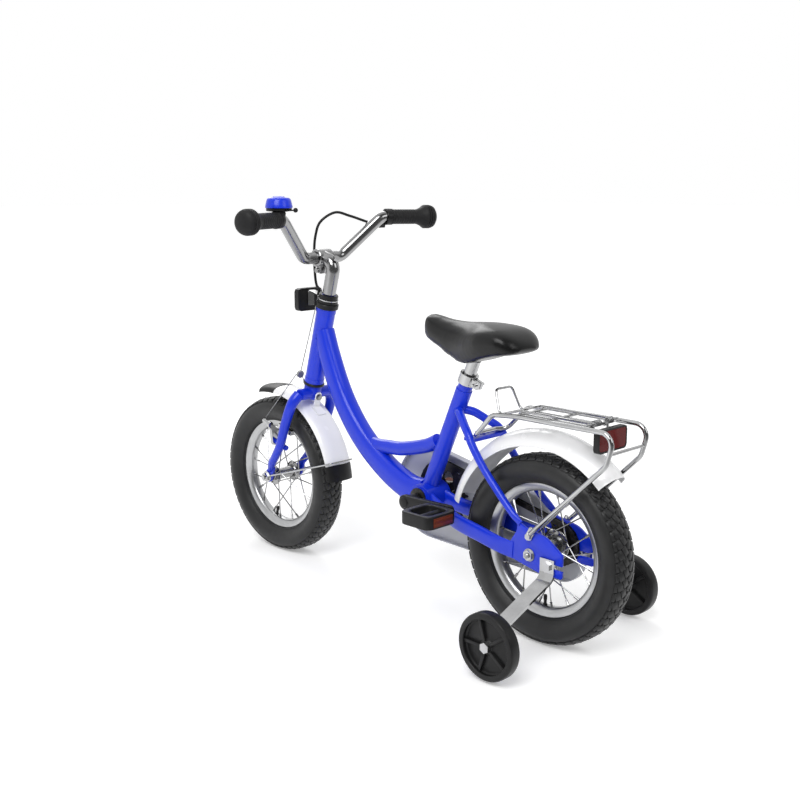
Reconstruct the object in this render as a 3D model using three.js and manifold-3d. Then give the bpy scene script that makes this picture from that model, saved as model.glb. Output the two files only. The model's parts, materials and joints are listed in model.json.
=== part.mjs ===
// Kids bike with training wheels, as separate pieces in millimetres.
// X points forward, Y to the rider's left and Z up. The rear axle stands over X = 0
// while the pieces are made, and the whole bike is centred over the origin at the end.
import * as THREE from "three";
import { mergeVertices } from "three/addons/utils/BufferGeometryUtils.js";
import Module from "manifold-3d";

const wasm = await Module();
wasm.setup();

// Fits that every piece shares
const seatGap = 0.3;
const runningGap = 0.4;
const overrun = 4;

// Layout of the bike
const wheelBase = 664;
const tyreRadius = 155;
const crankForward = 257;
const crankHeight = 191;
const headAngle = 15.2;
const headForward = 566;
const headOverFender = 18;
const headLength = 150;
const seatAngle = 23;
const seatFootAhead = 7.4;
const seatHeight = 403;

// Frame tubes
const headRadius = 18;
const headBore = 15;
const mainWidth = 36;
const mainTopDepth = 36;
const mainLowDepth = 50;
const upperRadius = 12.7;
const seatTubeRadius = 14.3;
const seatCollarRadius = 12.7;
const seatCollarLength = 14;
const shellRadius = 24;
const shellRimRadius = 20;
const shellHalf = 27;
const shellRimLength = 3;
const shellBore = 16.5;

// Stays and dropouts
const plateInner = 39;
const plateThick = 5;
const stayRadius = 7.5;
const chainStayHeight = 28;
const chainStayThick = 12;
const bridgeForward = 135;
const bridgeOverFender = 15.88;
const stayOverFender = 53;
const bridgeRadius = 5.5;
const plateRear = 63;
const plateFront = 40;
const plateTop = 35;
const plateBottom = 26;
const supportBoltDrop = 9;
const supportSlot = 8;
const rackBoltRise = 30.5;

// Wheels
const tyreWidth = 57;
const tyreWall = 4;
const treadDepth = 2.2;
const treadBlocks = 17;
const tyreHeight = 46;
const rimOuter = tyreRadius - tyreHeight;
const rimDepth = 14;
const rimInner = rimOuter - rimDepth;
const rimHalf = 12.5;
const rimWall = 2;
const rimBed = rimOuter - rimDepth / 2;
const valveRadius = 3;
const valveLength = 17;
const spokeCount = 20;
const spokeRadius = 1;
const spokeLean = 52;
const frontHubRadius = 11;
const frontFlangeRadius = 20;
const rearHubRadius = 16;
const rearFlangeRadius = 26;
const flangeOffset = 23;
const flangeThick = 2.4;
const hubHalf = 31;
const axleRadius = 4.8;
const nutHeight = 6;
const nutAcross = 15;
const axleEnd = 3;

// Chain drive
const chainPitch = 12.7;
const ringTeeth = 26;
const sprocketTeeth = 16;
const chainLinks = 62;
const chainLine = 35;
const chainSlot = 3.4;
const chainPlate = 1.5;
const chainPlateHeight = 9;
const rollerRadius = 3.2;
const toothThick = 2.6;
const toothHeight = 4.2;
const toothTip = 2;
const toothBase = 7;
const crankLength = 100;
const crankAngle = 3.5;
const crankArmWidth = 18;
const crankArmThick = 11;
const crankBossRadius = 13;
const spindleRadius = 8;
const crankArmOuter = 66;
const bracketRadius = 16;
const bracketFlange = 18.5;
const bracketFlangeThick = 2.5;
const pedalAxleRadius = 4.5;
const pedalLength = 66;
const pedalWidth = 68;
const pedalThick = 22;
const pedalGap = 10;
const pedalRim = 9;
const pedalBarrel = 9.5;
const guardInner = 51;
const guardWall = 1.8;
const guardDepth = 10;
const guardFrontRadius = 86;
const guardFrontForward = 36;
const guardFrontDrop = 10;
const guardRearRadius = 45;
const guardRearForward = 4;
const guardRearDrop = 22;
const guardCrankHole = 22;

// Training wheels
const supportForward = -37.5;
const supportStrip = 27;
const supportThick = 4;
const supportRise = 3;
const supportTop = tyreRadius + supportRise;
const supportBendDrop = 28;
const supportBend = tyreRadius - supportBendDrop;
const supportLowBend = 79;
const supportEnd = 42;
const supportReach = 165.5;
const trainerRadius = 52.5;
const trainerFloat = 4;
const trainerWidth = 20.7;
const trainerBand = 10;
const trainerWeb = 5;
const trainerHub = 12;
const trainerRibs = 5;
const trainerRibWidth = 5;
const trainerBolt = 5;
const trainerGap = 7;
const trainerDish = 5;

// Fenders
const fenderHalf = 30;
const rearFenderRoom = 16;
const rearFenderEdge = tyreRadius + rearFenderRoom;
const rearFenderDepth = 24;
const rearFenderCrown = rearFenderEdge + rearFenderDepth;
const frontFenderRoom = 15;
const frontFenderEdge = tyreRadius + frontFenderRoom;
const frontFenderDepth = 11;
const frontFenderCrown = frontFenderEdge + frontFenderDepth;
const fenderWall = 1.6;
const rearFenderFrom = 16;
const rearFenderTo = 133;
const frontFenderFrom = 63;
const frontFenderTo = 159;
const frontCapTurn = 15;
const rearCapTurn = 10;
const fenderStayRadius = 1.8;
const stayAhead = 1.5;

// Rear carrier
const carrierHalf = 45;
const carrierRod = 4;
const carrierWire = 2.6;
const carrierFront = 64;
const carrierRear = 92;
const carrierOverFender = 22;
const carrierHeight = tyreRadius + rearFenderCrown + carrierOverFender;
const carrierHoop = 142;
const carrierHoopDrop = 31;
const carrierEndBack = 126;
const carrierEndDrop = 61;
const carrierEndHeight = carrierHeight - carrierEndDrop;
const clipWire = 2.3;
const clipHalf = 27;
const clipTopHalf = 20;
const clipFront = 80;
const clipRise = 38;
const clipDip = 12;
const clipLean = 15;
const clipPivotBack = 99;
const springTurns = 4;
const springWire = 1.1;
const springLength = 15;
const rearReflectorHalf = 36.5;
const rearReflectorHeight = 36;
const rearReflectorBack = 118;
const rearReflectorDip = 1;
const rearReflectorTop = carrierHeight - rearReflectorDip;
const rearReflectorDepth = 10;
const lensThick = 3;
const housingLip = 2.5;

// Steering
const steererRadius = 12.7;
const quillRadius = 11.1;
const lowerRingRadius = 20.5;
const lowerRingHeight = 5;
const upperCupRadius = 21.5;
const upperCupHeight = 10;
const upperConeRadius = 19.5;
const upperConeHeight = 6;
const hangerThick = 1.8;
const locknutRadius = 18;
const locknutHeight = 8;
const crownRadius = 17;
const crownLength = 28;
const forkSpread = 50;
const forkLegRadius = 11;
const forkTipRadius = 7;
const forkTipThick = 5;
const stemRise = 58.6;
const barForward = 34.5;
const barRadius = 11.1;
const barLowHalf = 45;
const barTopHalf = 120;
const barTopRise = 79;
const barTopBack = 13;
const gripEnd = 231;
const gripSweep = 31;
const gripClimb = 7;
const clampRadius = 16;
const clampHalf = 17;
const gripRadius = 13.4;
const gripStart = 138;
const knobRadius = 22.5;
const knobLength = 40;
const bellRadius = 24;
const bellHeight = 12;
const bellPlace = 133;
const bellAhead = 11;
const bellInset = 8;
const frontReflectorWidth = 59;
const frontReflectorHeight = 43;
const frontReflectorDepth = 12;
const frontReflectorForward = 60;
const frontReflectorRise = 150;

// Brake
const wireRadius = 1;
const cableRadius = 2.5;
const hangerForward = 28;
const yokeForward = 42;
const yokeDrop = 2;
const yokeRadius = 7.5;
const brakeBossSpread = 42;
const brakeBossForward = 42;
const brakeBossDrop = 136;
const brakeArmThick = 8;
const padDrop = 115;
const padGap = 2.2;
const padLength = 40;
const padHeight = 9;
const padThick = 9;
const anchorSpread = 62;
const anchorForward = 54;
const anchorDrop = 97;
const leverPlace = 133;
const leverForward = 21;
const leverDrop = 17;
const leverLength = 62;
const leverThick = 7;
const leverWidth = 13;

// Saddle
const postRadius = 11.1;
const postInside = 110;
const postTop = 43;
const clampRingHeight = 18;
const clampRingWall = 3;
const clampEarReach = 12;
const saddleAhead = 93.6;
const saddleBehind = 132.4;
const saddleRearHalf = 57;
const saddleRise = 106;
const saddleSkirtRise = 34;
const saddleWall = 9;
const railRadius = 3.5;

// Facets on round pieces
const fineSides = 16;
const tubeSides = 12;
const rodSides = 8;
const wireSides = 6;
const rollerSides = 4;
const bendStep = 45;
const facetSlack = 0.11;

const rad = THREE.MathUtils.degToRad;

// The corner radius of a bore with flat facets that clears a round of the given radius
function clearOf(radius, gap = seatGap, sides = tubeSides) {
  return (radius + gap) / Math.cos(Math.PI / sides);
}

const vec = (x, y, z) => new THREE.Vector3(x, y, z);
const acrossX = vec(1, 0, 0);
const acrossY = vec(0, 1, 0);
const upright = vec(0, 0, 1);

// Solids: three.js geometries joined and cut as closed bodies
function toSolid(geometry) {
  const bare = geometry.clone();
  bare.deleteAttribute("normal");
  bare.deleteAttribute("uv");
  const merged = mergeVertices(bare);
  const corners = merged.index.array;
  const kept = [];
  for (let i = 0; i < corners.length; i += 3) {
    const [a, b, c] = [corners[i], corners[i + 1], corners[i + 2]];
    if (a !== b && b !== c && c !== a) kept.push(a, b, c);
  }
  const vertProperties = Float32Array.from(merged.attributes.position.array);
  return new wasm.Manifold(new wasm.Mesh({ numProp: 3, vertProperties, triVerts: Uint32Array.from(kept) }));
}

function toGeometry(solid) {
  const mesh = solid.asOriginal().simplify(facetSlack).getMesh();
  const geometry = new THREE.BufferGeometry();
  geometry.setAttribute("position", new THREE.BufferAttribute(mesh.vertProperties.slice(), 3));
  geometry.setIndex(new THREE.BufferAttribute(mesh.triVerts.slice(), 1));
  return geometry;
}

function joined(...geometries) {
  return toGeometry(geometries.map(toSolid).reduce((whole, next) => whole.add(next)));
}

function without(geometry, ...tools) {
  return toGeometry(tools.map(toSolid).reduce((left, tool) => left.subtract(tool), toSolid(geometry)));
}

function mirrored(geometry) {
  const copy = toGeometry(toSolid(geometry));
  copy.scale(1, -1, 1);
  const corners = copy.index.array;
  for (let i = 0; i < corners.length; i += 3) {
    [corners[i], corners[i + 1]] = [corners[i + 1], corners[i]];
  }
  return copy;
}

// Outlines
function roundOutline(sides, wide = 1, tall = 1) {
  const points = [];
  for (let i = 0; i < sides; i += 1) {
    const turn = ((i + 0.5) / sides) * Math.PI * 2;
    points.push(new THREE.Vector2(Math.cos(turn) * wide, Math.sin(turn) * tall));
  }
  return new THREE.Shape(points);
}

function boxOutline(wide, tall) {
  const [halfWide, halfTall] = [wide / 2, tall / 2];
  const corners = [
    [-halfWide, -halfTall],
    [halfWide, -halfTall],
    [halfWide, halfTall],
    [-halfWide, halfTall],
  ];
  return new THREE.Shape(corners.map(([x, y]) => new THREE.Vector2(x, y)));
}

// A closed outline with each corner [x, y, radius] rounded by an arc of a few steps
function roundedOutline(corners, steps = 4) {
  const points = [];
  corners.forEach(([x, y, radius], index) => {
    const before = corners.at(index - 1);
    const after = corners[(index + 1) % corners.length];
    if (!radius) {
      points.push(new THREE.Vector2(x, y));
      return;
    }
    const arc = roundedCorner(
      vec(before[0], before[1], 0),
      vec(x, y, 0),
      vec(after[0], after[1], 0),
      radius,
      steps,
    );
    arc.forEach((point) => points.push(new THREE.Vector2(point.x, point.y)));
  });
  return new THREE.Shape(points);
}

function roundedCorner(before, corner, after, radius, steps) {
  const back = before.clone().sub(corner);
  const ahead = after.clone().sub(corner);
  const half = back.angleTo(ahead) / 2;
  const reach = Math.min(radius / Math.tan(half), back.length() * 0.49, ahead.length() * 0.49);
  const round = reach * Math.tan(half);
  back.normalize();
  ahead.normalize();
  const centre = corner.clone().addScaledVector(
    back.clone().add(ahead).normalize(),
    round / Math.sin(half),
  );
  const start = corner.clone().addScaledVector(back, reach).sub(centre);
  const end = corner.clone().addScaledVector(ahead, reach).sub(centre);
  const sweepAngle = start.angleTo(end);
  const points = [];
  for (let i = 0; i <= steps; i += 1) {
    const share = i / steps;
    const first = Math.sin((1 - share) * sweepAngle) / Math.sin(sweepAngle);
    const second = Math.sin(share * sweepAngle) / Math.sin(sweepAngle);
    points.push(centre.clone().addScaledVector(start, first).addScaledVector(end, second));
  }
  return points;
}

// A route of straight runs joined by round bends
function bent(places, radius) {
  const points = [places[0]];
  for (let i = 1; i < places.length - 1; i += 1) {
    const back = places[i - 1].clone().sub(places[i]);
    const ahead = places[i + 1].clone().sub(places[i]);
    const turn = Math.PI - back.angleTo(ahead);
    const steps = Math.max(1, Math.round(turn / rad(bendStep)));
    points.push(...roundedCorner(places[i - 1], places[i], places[i + 1], radius, steps));
  }
  points.push(places.at(-1));
  return points;
}

function smooth(places, steps) {
  return new THREE.CatmullRomCurve3(places, false, "centripetal").getPoints(steps);
}

// A section carried along a route; size(share) scales it, and side is the section's own X
function swept(outline, route, side, size = () => [1, 1]) {
  const steps = route.length - 1;
  const bar = new THREE.ExtrudeGeometry(outline, { depth: steps, steps, bevelEnabled: false });
  const frames = route.map((point, index) => {
    const ahead = route[Math.min(index + 1, steps)].clone().sub(point).normalize();
    const behind = point.clone().sub(route[Math.max(index - 1, 0)]).normalize();
    const along = ahead.add(behind).normalize();
    const across = side.clone().addScaledVector(along, -side.dot(along)).normalize();
    return { point, across, over: along.clone().cross(across), scale: size(index / steps) };
  });
  const places = bar.attributes.position;
  for (let i = 0; i < places.count; i += 1) {
    const frame = frames[Math.round(places.getZ(i))];
    const place = frame.point.clone();
    place.addScaledVector(frame.across, places.getX(i) * frame.scale[0]);
    place.addScaledVector(frame.over, places.getY(i) * frame.scale[1]);
    places.setXYZ(i, place.x, place.y, place.z);
  }
  bar.deleteAttribute("normal");
  bar.deleteAttribute("uv");
  return bar;
}

function tube(route, radius, sides, side = acrossY) {
  return swept(roundOutline(sides, radius, radius), route, side);
}

// A straight round bar from one point to another
function pin(from, to, radius, sides = rodSides) {
  const way = to.clone().sub(from);
  const side = Math.abs(way.x) > Math.abs(way.y) ? acrossY : acrossX;
  return tube([from, to], radius, sides, side);
}

function crossPin(x, z, fromY, toY, radius, sides = rodSides) {
  return pin(vec(x, fromY, z), vec(x, toY, z), radius, sides);
}

function hexagon(from, to, across) {
  return pin(from, to, across / Math.sqrt(3), 6);
}

// A profile of [radius, place] turned round the Y axis
function turned(profile, sides) {
  const points = profile.map(([radius, place]) => new THREE.Vector2(radius, place));
  if (THREE.ShapeUtils.area(points) < 0) points.reverse();
  const open = points[0].x === 0 && points.at(-1).x === 0;
  if (!open) points.push(points[0].clone());
  return new THREE.LatheGeometry(points, sides);
}

// The same, round the Z axis
function turnedUpright(profile, sides) {
  return turned(profile, sides).rotateX(Math.PI / 2);
}

function sleeve(inner, outer, low, high, sides = fineSides) {
  const profile = [
    [inner, low],
    [outer, low],
    [outer, high],
    [inner, high],
  ];
  return turnedUpright(profile, sides);
}

function slab(outline, thick) {
  return new THREE.ExtrudeGeometry(outline, { depth: thick, bevelEnabled: false });
}

// A plate whose outline is drawn in X and Z, from inner to outer along Y
function sidePlate(outline, inner, outer) {
  return slab(outline, outer - inner).rotateX(Math.PI / 2).translate(0, outer, 0);
}

function block(low, high) {
  const size = high.clone().sub(low);
  const middle = low.clone().add(high).multiplyScalar(0.5);
  return new THREE.BoxGeometry(size.x, size.y, size.z).translate(middle.x, middle.y, middle.z);
}

// Materials
function finish(color, roughness, metalness) {
  return new THREE.MeshStandardMaterial({ color, roughness, metalness });
}
const bluePaint = finish(0x2145d6, 0.3, 0.1);
const chrome = finish(0xd6d8da, 0.18, 1);
const steel = finish(0xa9abad, 0.35, 1);
const blackPlastic = finish(0x1b1b1c, 0.5, 0);
const rubber = finish(0x222324, 0.8, 0);
const whiteSheet = finish(0xf2f2f2, 0.25, 0);
const greyPlastic = finish(0xd9d9dc, 0.45, 0);
const redLens = finish(0x8c1418, 0.25, 0);
const clearLens = finish(0xe8e8ea, 0.2, 0);
const darkSteel = finish(0x2a2a2b, 0.4, 0.8);
const vinyl = finish(0x232323, 0.55, 0);

// Places that follow from the layout
const crankCentre = vec(crankForward, 0, crankHeight);
const seatUp = vec(-Math.sin(rad(seatAngle)), 0, Math.cos(rad(seatAngle)));
const seatForward = crankForward + seatFootAhead - (seatHeight - crankHeight) * Math.tan(rad(seatAngle));
const seatTopCentre = vec(seatForward, 0, seatHeight);
const saddleNose = seatForward + saddleAhead;
const saddleRear = seatForward - saddleBehind;
const saddleTop = seatHeight + saddleRise;
const saddleSkirt = seatHeight + saddleSkirtRise;
const stayRise = rearFenderCrown + stayOverFender;
const bridgeRise = Math.sqrt((rearFenderCrown + bridgeOverFender) ** 2 - bridgeForward ** 2);
const bridgeHeight = tyreRadius + bridgeRise;
const headUp = vec(-Math.sin(rad(headAngle)), 0, Math.cos(rad(headAngle)));
const headHeight = tyreRadius + frontFenderCrown + headOverFender;
const headLow = vec(headForward, 0, headHeight);
const headToAxle = vec(wheelBase - headForward, 0, tyreRadius - headHeight);
const axleDrop = -headToAxle.dot(headUp);
const axleRake = headToAxle.clone().addScaledVector(headUp, axleDrop).length();
const stemStop = stackTop() + seatGap;
const barRise = stemStop + stemRise;

// Main frame: head tube, deep curved main tube, short upper tube, seat tube and crank shell
const mainTubeShares = [
  [0.04, 0.01],
  [0.13, 0.015],
  [0.261, 0.096],
  [0.422, 0.269],
  [0.582, 0.519],
  [0.733, 0.888],
  [0.85, 1.35],
  [0.9, 1.62],
];
const upperTubeShares = [
  [-0.06, 0.62],
  [0.005, 0.555],
  [0.083, 0.505],
  [0.163, 0.466],
  [0.245, 0.434],
  [0.33, 0.424],
  [0.43, 0.412],
  [0.5, 0.425],
];

function framePlace([ahead, up]) {
  return vec(
    crankForward + ahead * (headForward - crankForward),
    0,
    crankHeight + up * (headHeight - crankHeight),
  );
}

function mainFrame() {
  const headTop = headLow.clone().addScaledVector(headUp, headLength);
  const head = pin(headLow, headTop, headRadius, fineSides);
  const mainRoute = smooth(mainTubeShares.map(framePlace), mainTubeShares.length + 2);
  const depth = (share) => [1, THREE.MathUtils.lerp(mainLowDepth, mainTopDepth, share) / mainLowDepth];
  const mainTube = swept(
    roundOutline(tubeSides, mainWidth / 2, mainLowDepth / 2),
    mainRoute,
    acrossY,
    depth,
  );
  const upperTube = tube(
    smooth(upperTubeShares.map(framePlace), upperTubeShares.length - 1),
    upperRadius,
    tubeSides,
  );
  const seatFoot = seatTopCentre.clone().addScaledVector(seatUp, -(seatHeight - crankHeight) / seatUp.z);
  const collarFoot = seatTopCentre.clone().addScaledVector(seatUp, -seatCollarLength);
  const seatTube = pin(seatFoot, collarFoot, seatTubeRadius, tubeSides);
  const collar = pin(
    collarFoot.clone().addScaledVector(seatUp, -overrun),
    seatTopCentre,
    seatCollarRadius,
    tubeSides,
  );
  const shell = crossPin(crankForward, crankHeight, -shellHalf, shellHalf, shellRadius, fineSides);
  const rimHalfLength = shellHalf + shellRimLength;
  const shellRims = crossPin(
    crankForward,
    crankHeight,
    -rimHalfLength,
    rimHalfLength,
    shellRimRadius,
    fineSides,
  );
  const headBoreTool = pin(
    headLow.clone().addScaledVector(headUp, -overrun),
    headTop.clone().addScaledVector(headUp, overrun),
    headBore,
    fineSides,
  );
  const postBore = pin(
    seatTopCentre.clone().addScaledVector(seatUp, -postInside - overrun),
    seatTopCentre.clone().addScaledVector(seatUp, overrun),
    clearOf(postRadius),
    tubeSides,
  );
  const shellBoreTool = crossPin(
    crankForward,
    crankHeight,
    -rimHalfLength - overrun,
    rimHalfLength + overrun,
    shellBore,
    fineSides,
  );
  const body = joined(head, mainTube, upperTube, seatTube, collar, shell, shellRims);
  return without(body, headBoreTool, postBore, shellBoreTool);
}

// Rings of points joined into one closed body, either end to end or round a loop
function lofted(rings, closed = false) {
  const sides = rings[0].length;
  const spans = closed ? rings.length : rings.length - 1;
  const corners = [];
  for (let i = 0; i < spans; i += 1) {
    const here = i * sides;
    const next = ((i + 1) % rings.length) * sides;
    for (let j = 0; j < sides; j += 1) {
      const k = (j + 1) % sides;
      corners.push(here + j, here + k, next + k, here + j, next + k, next + j);
    }
  }
  const last = (rings.length - 1) * sides;
  for (let j = 1; !closed && j < sides - 1; j += 1) {
    corners.push(0, j + 1, j, last, last + j, last + j + 1);
  }
  return outward(rings.flat(), corners);
}

// Triangles are turned over together where the body they close would be inside out
function outward(points, corners) {
  let volume = 0;
  for (let i = 0; i < corners.length; i += 3) {
    const [a, b, c] = [points[corners[i]], points[corners[i + 1]], points[corners[i + 2]]];
    volume += a.dot(b.clone().cross(c));
  }
  if (volume < 0) corners.reverse();
  const geometry = new THREE.BufferGeometry().setFromPoints(points);
  geometry.setIndex(corners);
  return geometry;
}

// Geometry made along the Y axis, laid from a place along a direction
function laidAlong(geometry, place, way) {
  const turn = new THREE.Quaternion().setFromUnitVectors(acrossY, way.clone().normalize());
  return geometry.applyQuaternion(turn).translate(place.x, place.y, place.z);
}

// Rear stays of one side: chain stay, slotted dropout plate and bent seat stay
const plateMiddle = plateInner + plateThick / 2;
const axleCentre = vec(0, 0, tyreRadius);
const seatStayShares = [
  [1.37, 0.2, 0.8],
  [1.28, 0.42, 0.785],
  [1.15, 0.68, 0.74],
  [1.01, 0.93, 0.69],
  [0.93, 1, 0.63],
  [0.75, 1.01, 0.5],
  [0.5, 1.03, 0.36],
  [0.28, 1.06, 0.25],
  [0.14, 1.075, 0.19],
];
const chainStayShares = [
  [0.95, 0.4, 0.98],
  [0.85, 0.52, 0.72],
  [0.76, 0.6, 0.6],
  [0.62, 0.88, 0.46],
  [0.42, 0.96, 0.25],
  [0.24, 1.03, 0.05],
  [0.13, 1.07, 0],
];

function stayRoute(shares, forward, rise) {
  return shares.map(([ahead, out, up]) => vec(ahead * forward, out * plateMiddle, tyreRadius + up * rise));
}

function dropoutPlate() {
  const slotHalf = supportSlot / 2;
  const slotHeight = -supportBoltDrop;
  const slotEnd = supportForward + slotHalf;
  const corners = [
    [plateFront, -plateBottom / 2, slotHalf],
    [plateFront, plateBottom / 2, slotHalf],
    [plateBottom, plateTop, plateFront / 2],
    [plateBottom, plateTop + stayRadius * 2, stayRadius],
    [plateFront / 4, plateTop + stayRadius, stayRadius],
    [-plateRear / 2, plateTop, plateFront],
    [-plateRear, plateBottom / 2, slotHalf],
    [-plateRear, slotHeight + slotHalf, 0],
    [slotEnd, slotHeight + slotHalf, slotHalf],
    [slotEnd, slotHeight - slotHalf, slotHalf],
    [-plateRear, slotHeight - slotHalf, 0],
    [-plateRear, -plateBottom, slotHalf],
    [-plateRear / 3, -plateBottom, slotHalf],
  ];
  const outline = roundedOutline(corners, 2);
  return sidePlate(outline, plateInner, plateInner + plateThick).translate(0, 0, tyreRadius);
}

function boltHole(x, z, radius) {
  const sides = rodSides;
  return crossPin(
    x,
    z,
    plateInner - overrun,
    plateInner + plateThick + overrun,
    clearOf(radius, seatGap, sides),
    sides,
  );
}

function seatStayPath() {
  return smooth(stayRoute(seatStayShares, bridgeForward, stayRise), seatStayShares.length);
}

function seatStay(radius) {
  const thinner = (share) => {
    const width = THREE.MathUtils.lerp(1, 0.78, share);
    return [width, width];
  };
  return swept(roundOutline(rodSides, radius, radius), seatStayPath(), acrossY, thinner);
}

function rearStays() {
  const chainStayPath = smooth(
    stayRoute(chainStayShares, crankForward, crankHeight - tyreRadius),
    chainStayShares.length,
  );
  const flatter = (share) => [Math.min(1, 0.45 + (1 - share) * 2), 1];
  const chainStay = swept(
    roundOutline(rodSides, chainStayThick / 2, chainStayHeight / 2),
    chainStayPath,
    acrossY,
    flatter,
  );
  const seatFoot = seatTopCentre.clone().addScaledVector(seatUp, -(seatHeight - crankHeight) / seatUp.z);
  const frontTools = [
    pin(seatFoot, seatTopCentre, clearOf(seatTubeRadius), tubeSides),
    crossPin(crankForward, crankHeight, -plateInner, plateInner, clearOf(shellRadius), fineSides),
  ];
  const body = joined(seatStay(stayRadius), chainStay, dropoutPlate());
  const holes = [
    boltHole(0, tyreRadius, axleRadius),
    boltHole(0, tyreRadius + rackBoltRise, trainerBolt / 2),
  ];
  return without(body, ...frontTools, ...holes);
}

// Strip between the seat stays, with the capped cross tube behind the seat tube
function stayBridge() {
  const half = plateMiddle - stayRadius / 2;
  const width = bridgeRadius * 4;
  const low = vec(bridgeForward - width / 2, -half, bridgeHeight - bridgeRadius / 2);
  const strip = block(low, vec(bridgeForward + width / 2, half, bridgeHeight + bridgeRadius / 2));
  const stayTool = seatStay(stayRadius + seatGap * 1.3);
  const boltHole = pin(
    vec(bridgeForward, 0, bridgeHeight - overrun * 2),
    vec(bridgeForward, 0, bridgeHeight + overrun * 2),
    clearOf(trainerBolt / 2, seatGap, rodSides),
  );
  return without(strip, stayTool, mirrored(stayTool), boltHole);
}

// Headset rings and cups round the head tube's axis, in the steering's own frame
function headsetCup(low, high, outer, lip) {
  const profile = [
    [clearOf(steererRadius), low],
    [outer - lip, low],
    [outer, low + lip],
    [outer, high - lip],
    [outer - lip, high],
    [clearOf(steererRadius), high],
  ];
  return turnedUpright(profile, fineSides);
}

// Fork: steerer, crown, curved legs, flattened tips and brake bosses
const forkLegShares = [
  [-0.06, 0.7, 0.1],
  [-0.05, 0.92, 0.16],
  [-0.02, 1.03, 0.25],
  [0.12, 1.04, 0.44],
  [0.24, 1.01, 0.61],
  [0.5, 0.96, 0.74],
  [0.8, 0.88, 0.86],
  [0.97, 0.77, 0.945],
];
const tipPlace = hubHalf + bracketFlangeThick * 2 + forkTipThick / 2;

function forkLeg() {
  const route = smooth(
    forkLegShares.map(([ahead, out, down]) => vec(ahead * axleRake, out * forkSpread, -down * axleDrop)),
    forkLegShares.length,
  );
  const taper = (share) => {
    const width = THREE.MathUtils.lerp(forkLegRadius, forkTipRadius, share) / forkLegRadius;
    const fullness = Math.min(1, (1 - share) * 3.5);
    const flat = THREE.MathUtils.lerp(forkTipThick * 0.45, forkLegRadius, fullness) / forkLegRadius;
    return [Math.min(width, flat), width];
  };
  const leg = swept(roundOutline(rodSides, forkLegRadius, forkLegRadius), route, acrossY, taper);
  const tip = new THREE.Shape();
  tip.absarc(axleRake, -axleDrop, nutAcross * 0.8, -Math.PI * 0.9, Math.PI * 0.3, false);
  tip.lineTo(axleRake - forkTipRadius / 2, -axleDrop + nutAcross * 2);
  tip.lineTo(axleRake - forkTipRadius * 2, -axleDrop + nutAcross * 1.6);
  const tipPlate = slab(new THREE.Shape(tip.getPoints(5)), forkTipThick);
  tipPlate.rotateX(Math.PI / 2).translate(0, tipPlace + forkTipThick / 2, 0);
  const boss = pin(
    vec(0, brakeBossSpread, -brakeBossDrop),
    vec(brakeBossForward, brakeBossSpread, -brakeBossDrop),
    forkTipThick,
  );
  const axleHole = crossPin(axleRake, -axleDrop, 0, forkSpread * 2, clearOf(axleRadius, seatGap, rodSides));
  return without(joined(leg, tipPlate, boss), axleHole);
}

// The top of the headset stack above the lower end of the head tube
function stackTop() {
  return headLength + upperCupHeight + upperConeHeight + hangerThick * 2 + locknutHeight;
}

function fork() {
  const steererTop = stackTop() - overrun / 2;
  const steerer = pin(vec(0, 0, -lowerRingHeight), vec(0, 0, steererTop), steererRadius, tubeSides);
  const crown = pin(
    vec(0, 0, -lowerRingHeight - crownLength),
    vec(0, 0, -lowerRingHeight),
    crownRadius,
    fineSides,
  );
  const shoulder = pin(
    vec(-crownRadius / 4, -forkSpread * 0.7, -axleDrop * 0.1),
    vec(-crownRadius / 4, forkSpread * 0.7, -axleDrop * 0.1),
    forkLegRadius,
    rodSides,
  );
  const leg = forkLeg();
  const bore = pin(vec(0, 0, headLength / 2), vec(0, 0, headLength * 2), clearOf(quillRadius), tubeSides);
  return without(joined(steerer, crown, shoulder, leg, mirrored(leg)), bore);
}

// Front cable hanger: a ring under the locknut with a tongue for the housing end and the reflector strap
const hangerHeight = headLength + upperCupHeight + upperConeHeight + hangerThick * 0.3;

function cableHanger() {
  const ring = sleeve(clearOf(steererRadius), upperConeRadius, hangerHeight, hangerHeight + hangerThick);
  const halfWide = cableRadius * 3;
  const strapTop = hangerHeight + hangerThick;
  const strapEnds = [strapTop - frontReflectorRise, -frontReflectorHeight / 4].map(behindReflector);
  const strap = swept(boxOutline(halfWide * 2, hangerThick), strapEnds, acrossY);
  const tongue = block(
    vec(upperConeRadius - hangerThick * 2, -halfWide, hangerHeight),
    vec(strapEnds[0].x, halfWide, strapTop),
  );
  const wireHole = pin(
    vec(hangerForward, 0, hangerHeight - overrun),
    vec(hangerForward, 0, strapTop + overrun),
    wireRadius + seatGap * 2,
  );
  return without(joined(ring, tongue, strap), wireHole);
}

// The strap's middle at a height above the reflector's own middle, just off its back
function behindReflector(up) {
  const back = frontReflectorForward - frontReflectorDepth;
  const facing = vec(Math.cos(rad(headAngle)), 0, -Math.sin(rad(headAngle)));
  const along = vec(Math.sin(rad(headAngle)), 0, Math.cos(rad(headAngle)));
  const middle = vec(back, 0, frontReflectorRise).addScaledVector(facing, -seatGap - hangerThick / 2);
  return middle.addScaledVector(along, up);
}

// A reflector's moulded tray, open to its lens, which is made along Z and faces up
function trayBody(width, height, depth) {
  const outer = roundedOutline(rectangle(width, height, height / 6), 2);
  const pocketWide = width - housingLip * 2;
  const pocketTall = height - housingLip * 2;
  const pocket = roundedOutline(rectangle(pocketWide, pocketTall, height / 8), 2);
  const tool = slab(pocket, depth).translate(0, 0, depth - lensThick);
  return without(slab(outer, depth), tool);
}

function trayLens(width, height, depth) {
  const pocketWide = width - (housingLip + seatGap) * 2;
  const pocketTall = height - (housingLip + seatGap) * 2;
  const outline = roundedOutline(rectangle(pocketWide, pocketTall, height / 8), 2);
  return slab(outline, lensThick - seatGap * 2).translate(0, 0, depth - lensThick + seatGap);
}

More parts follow.
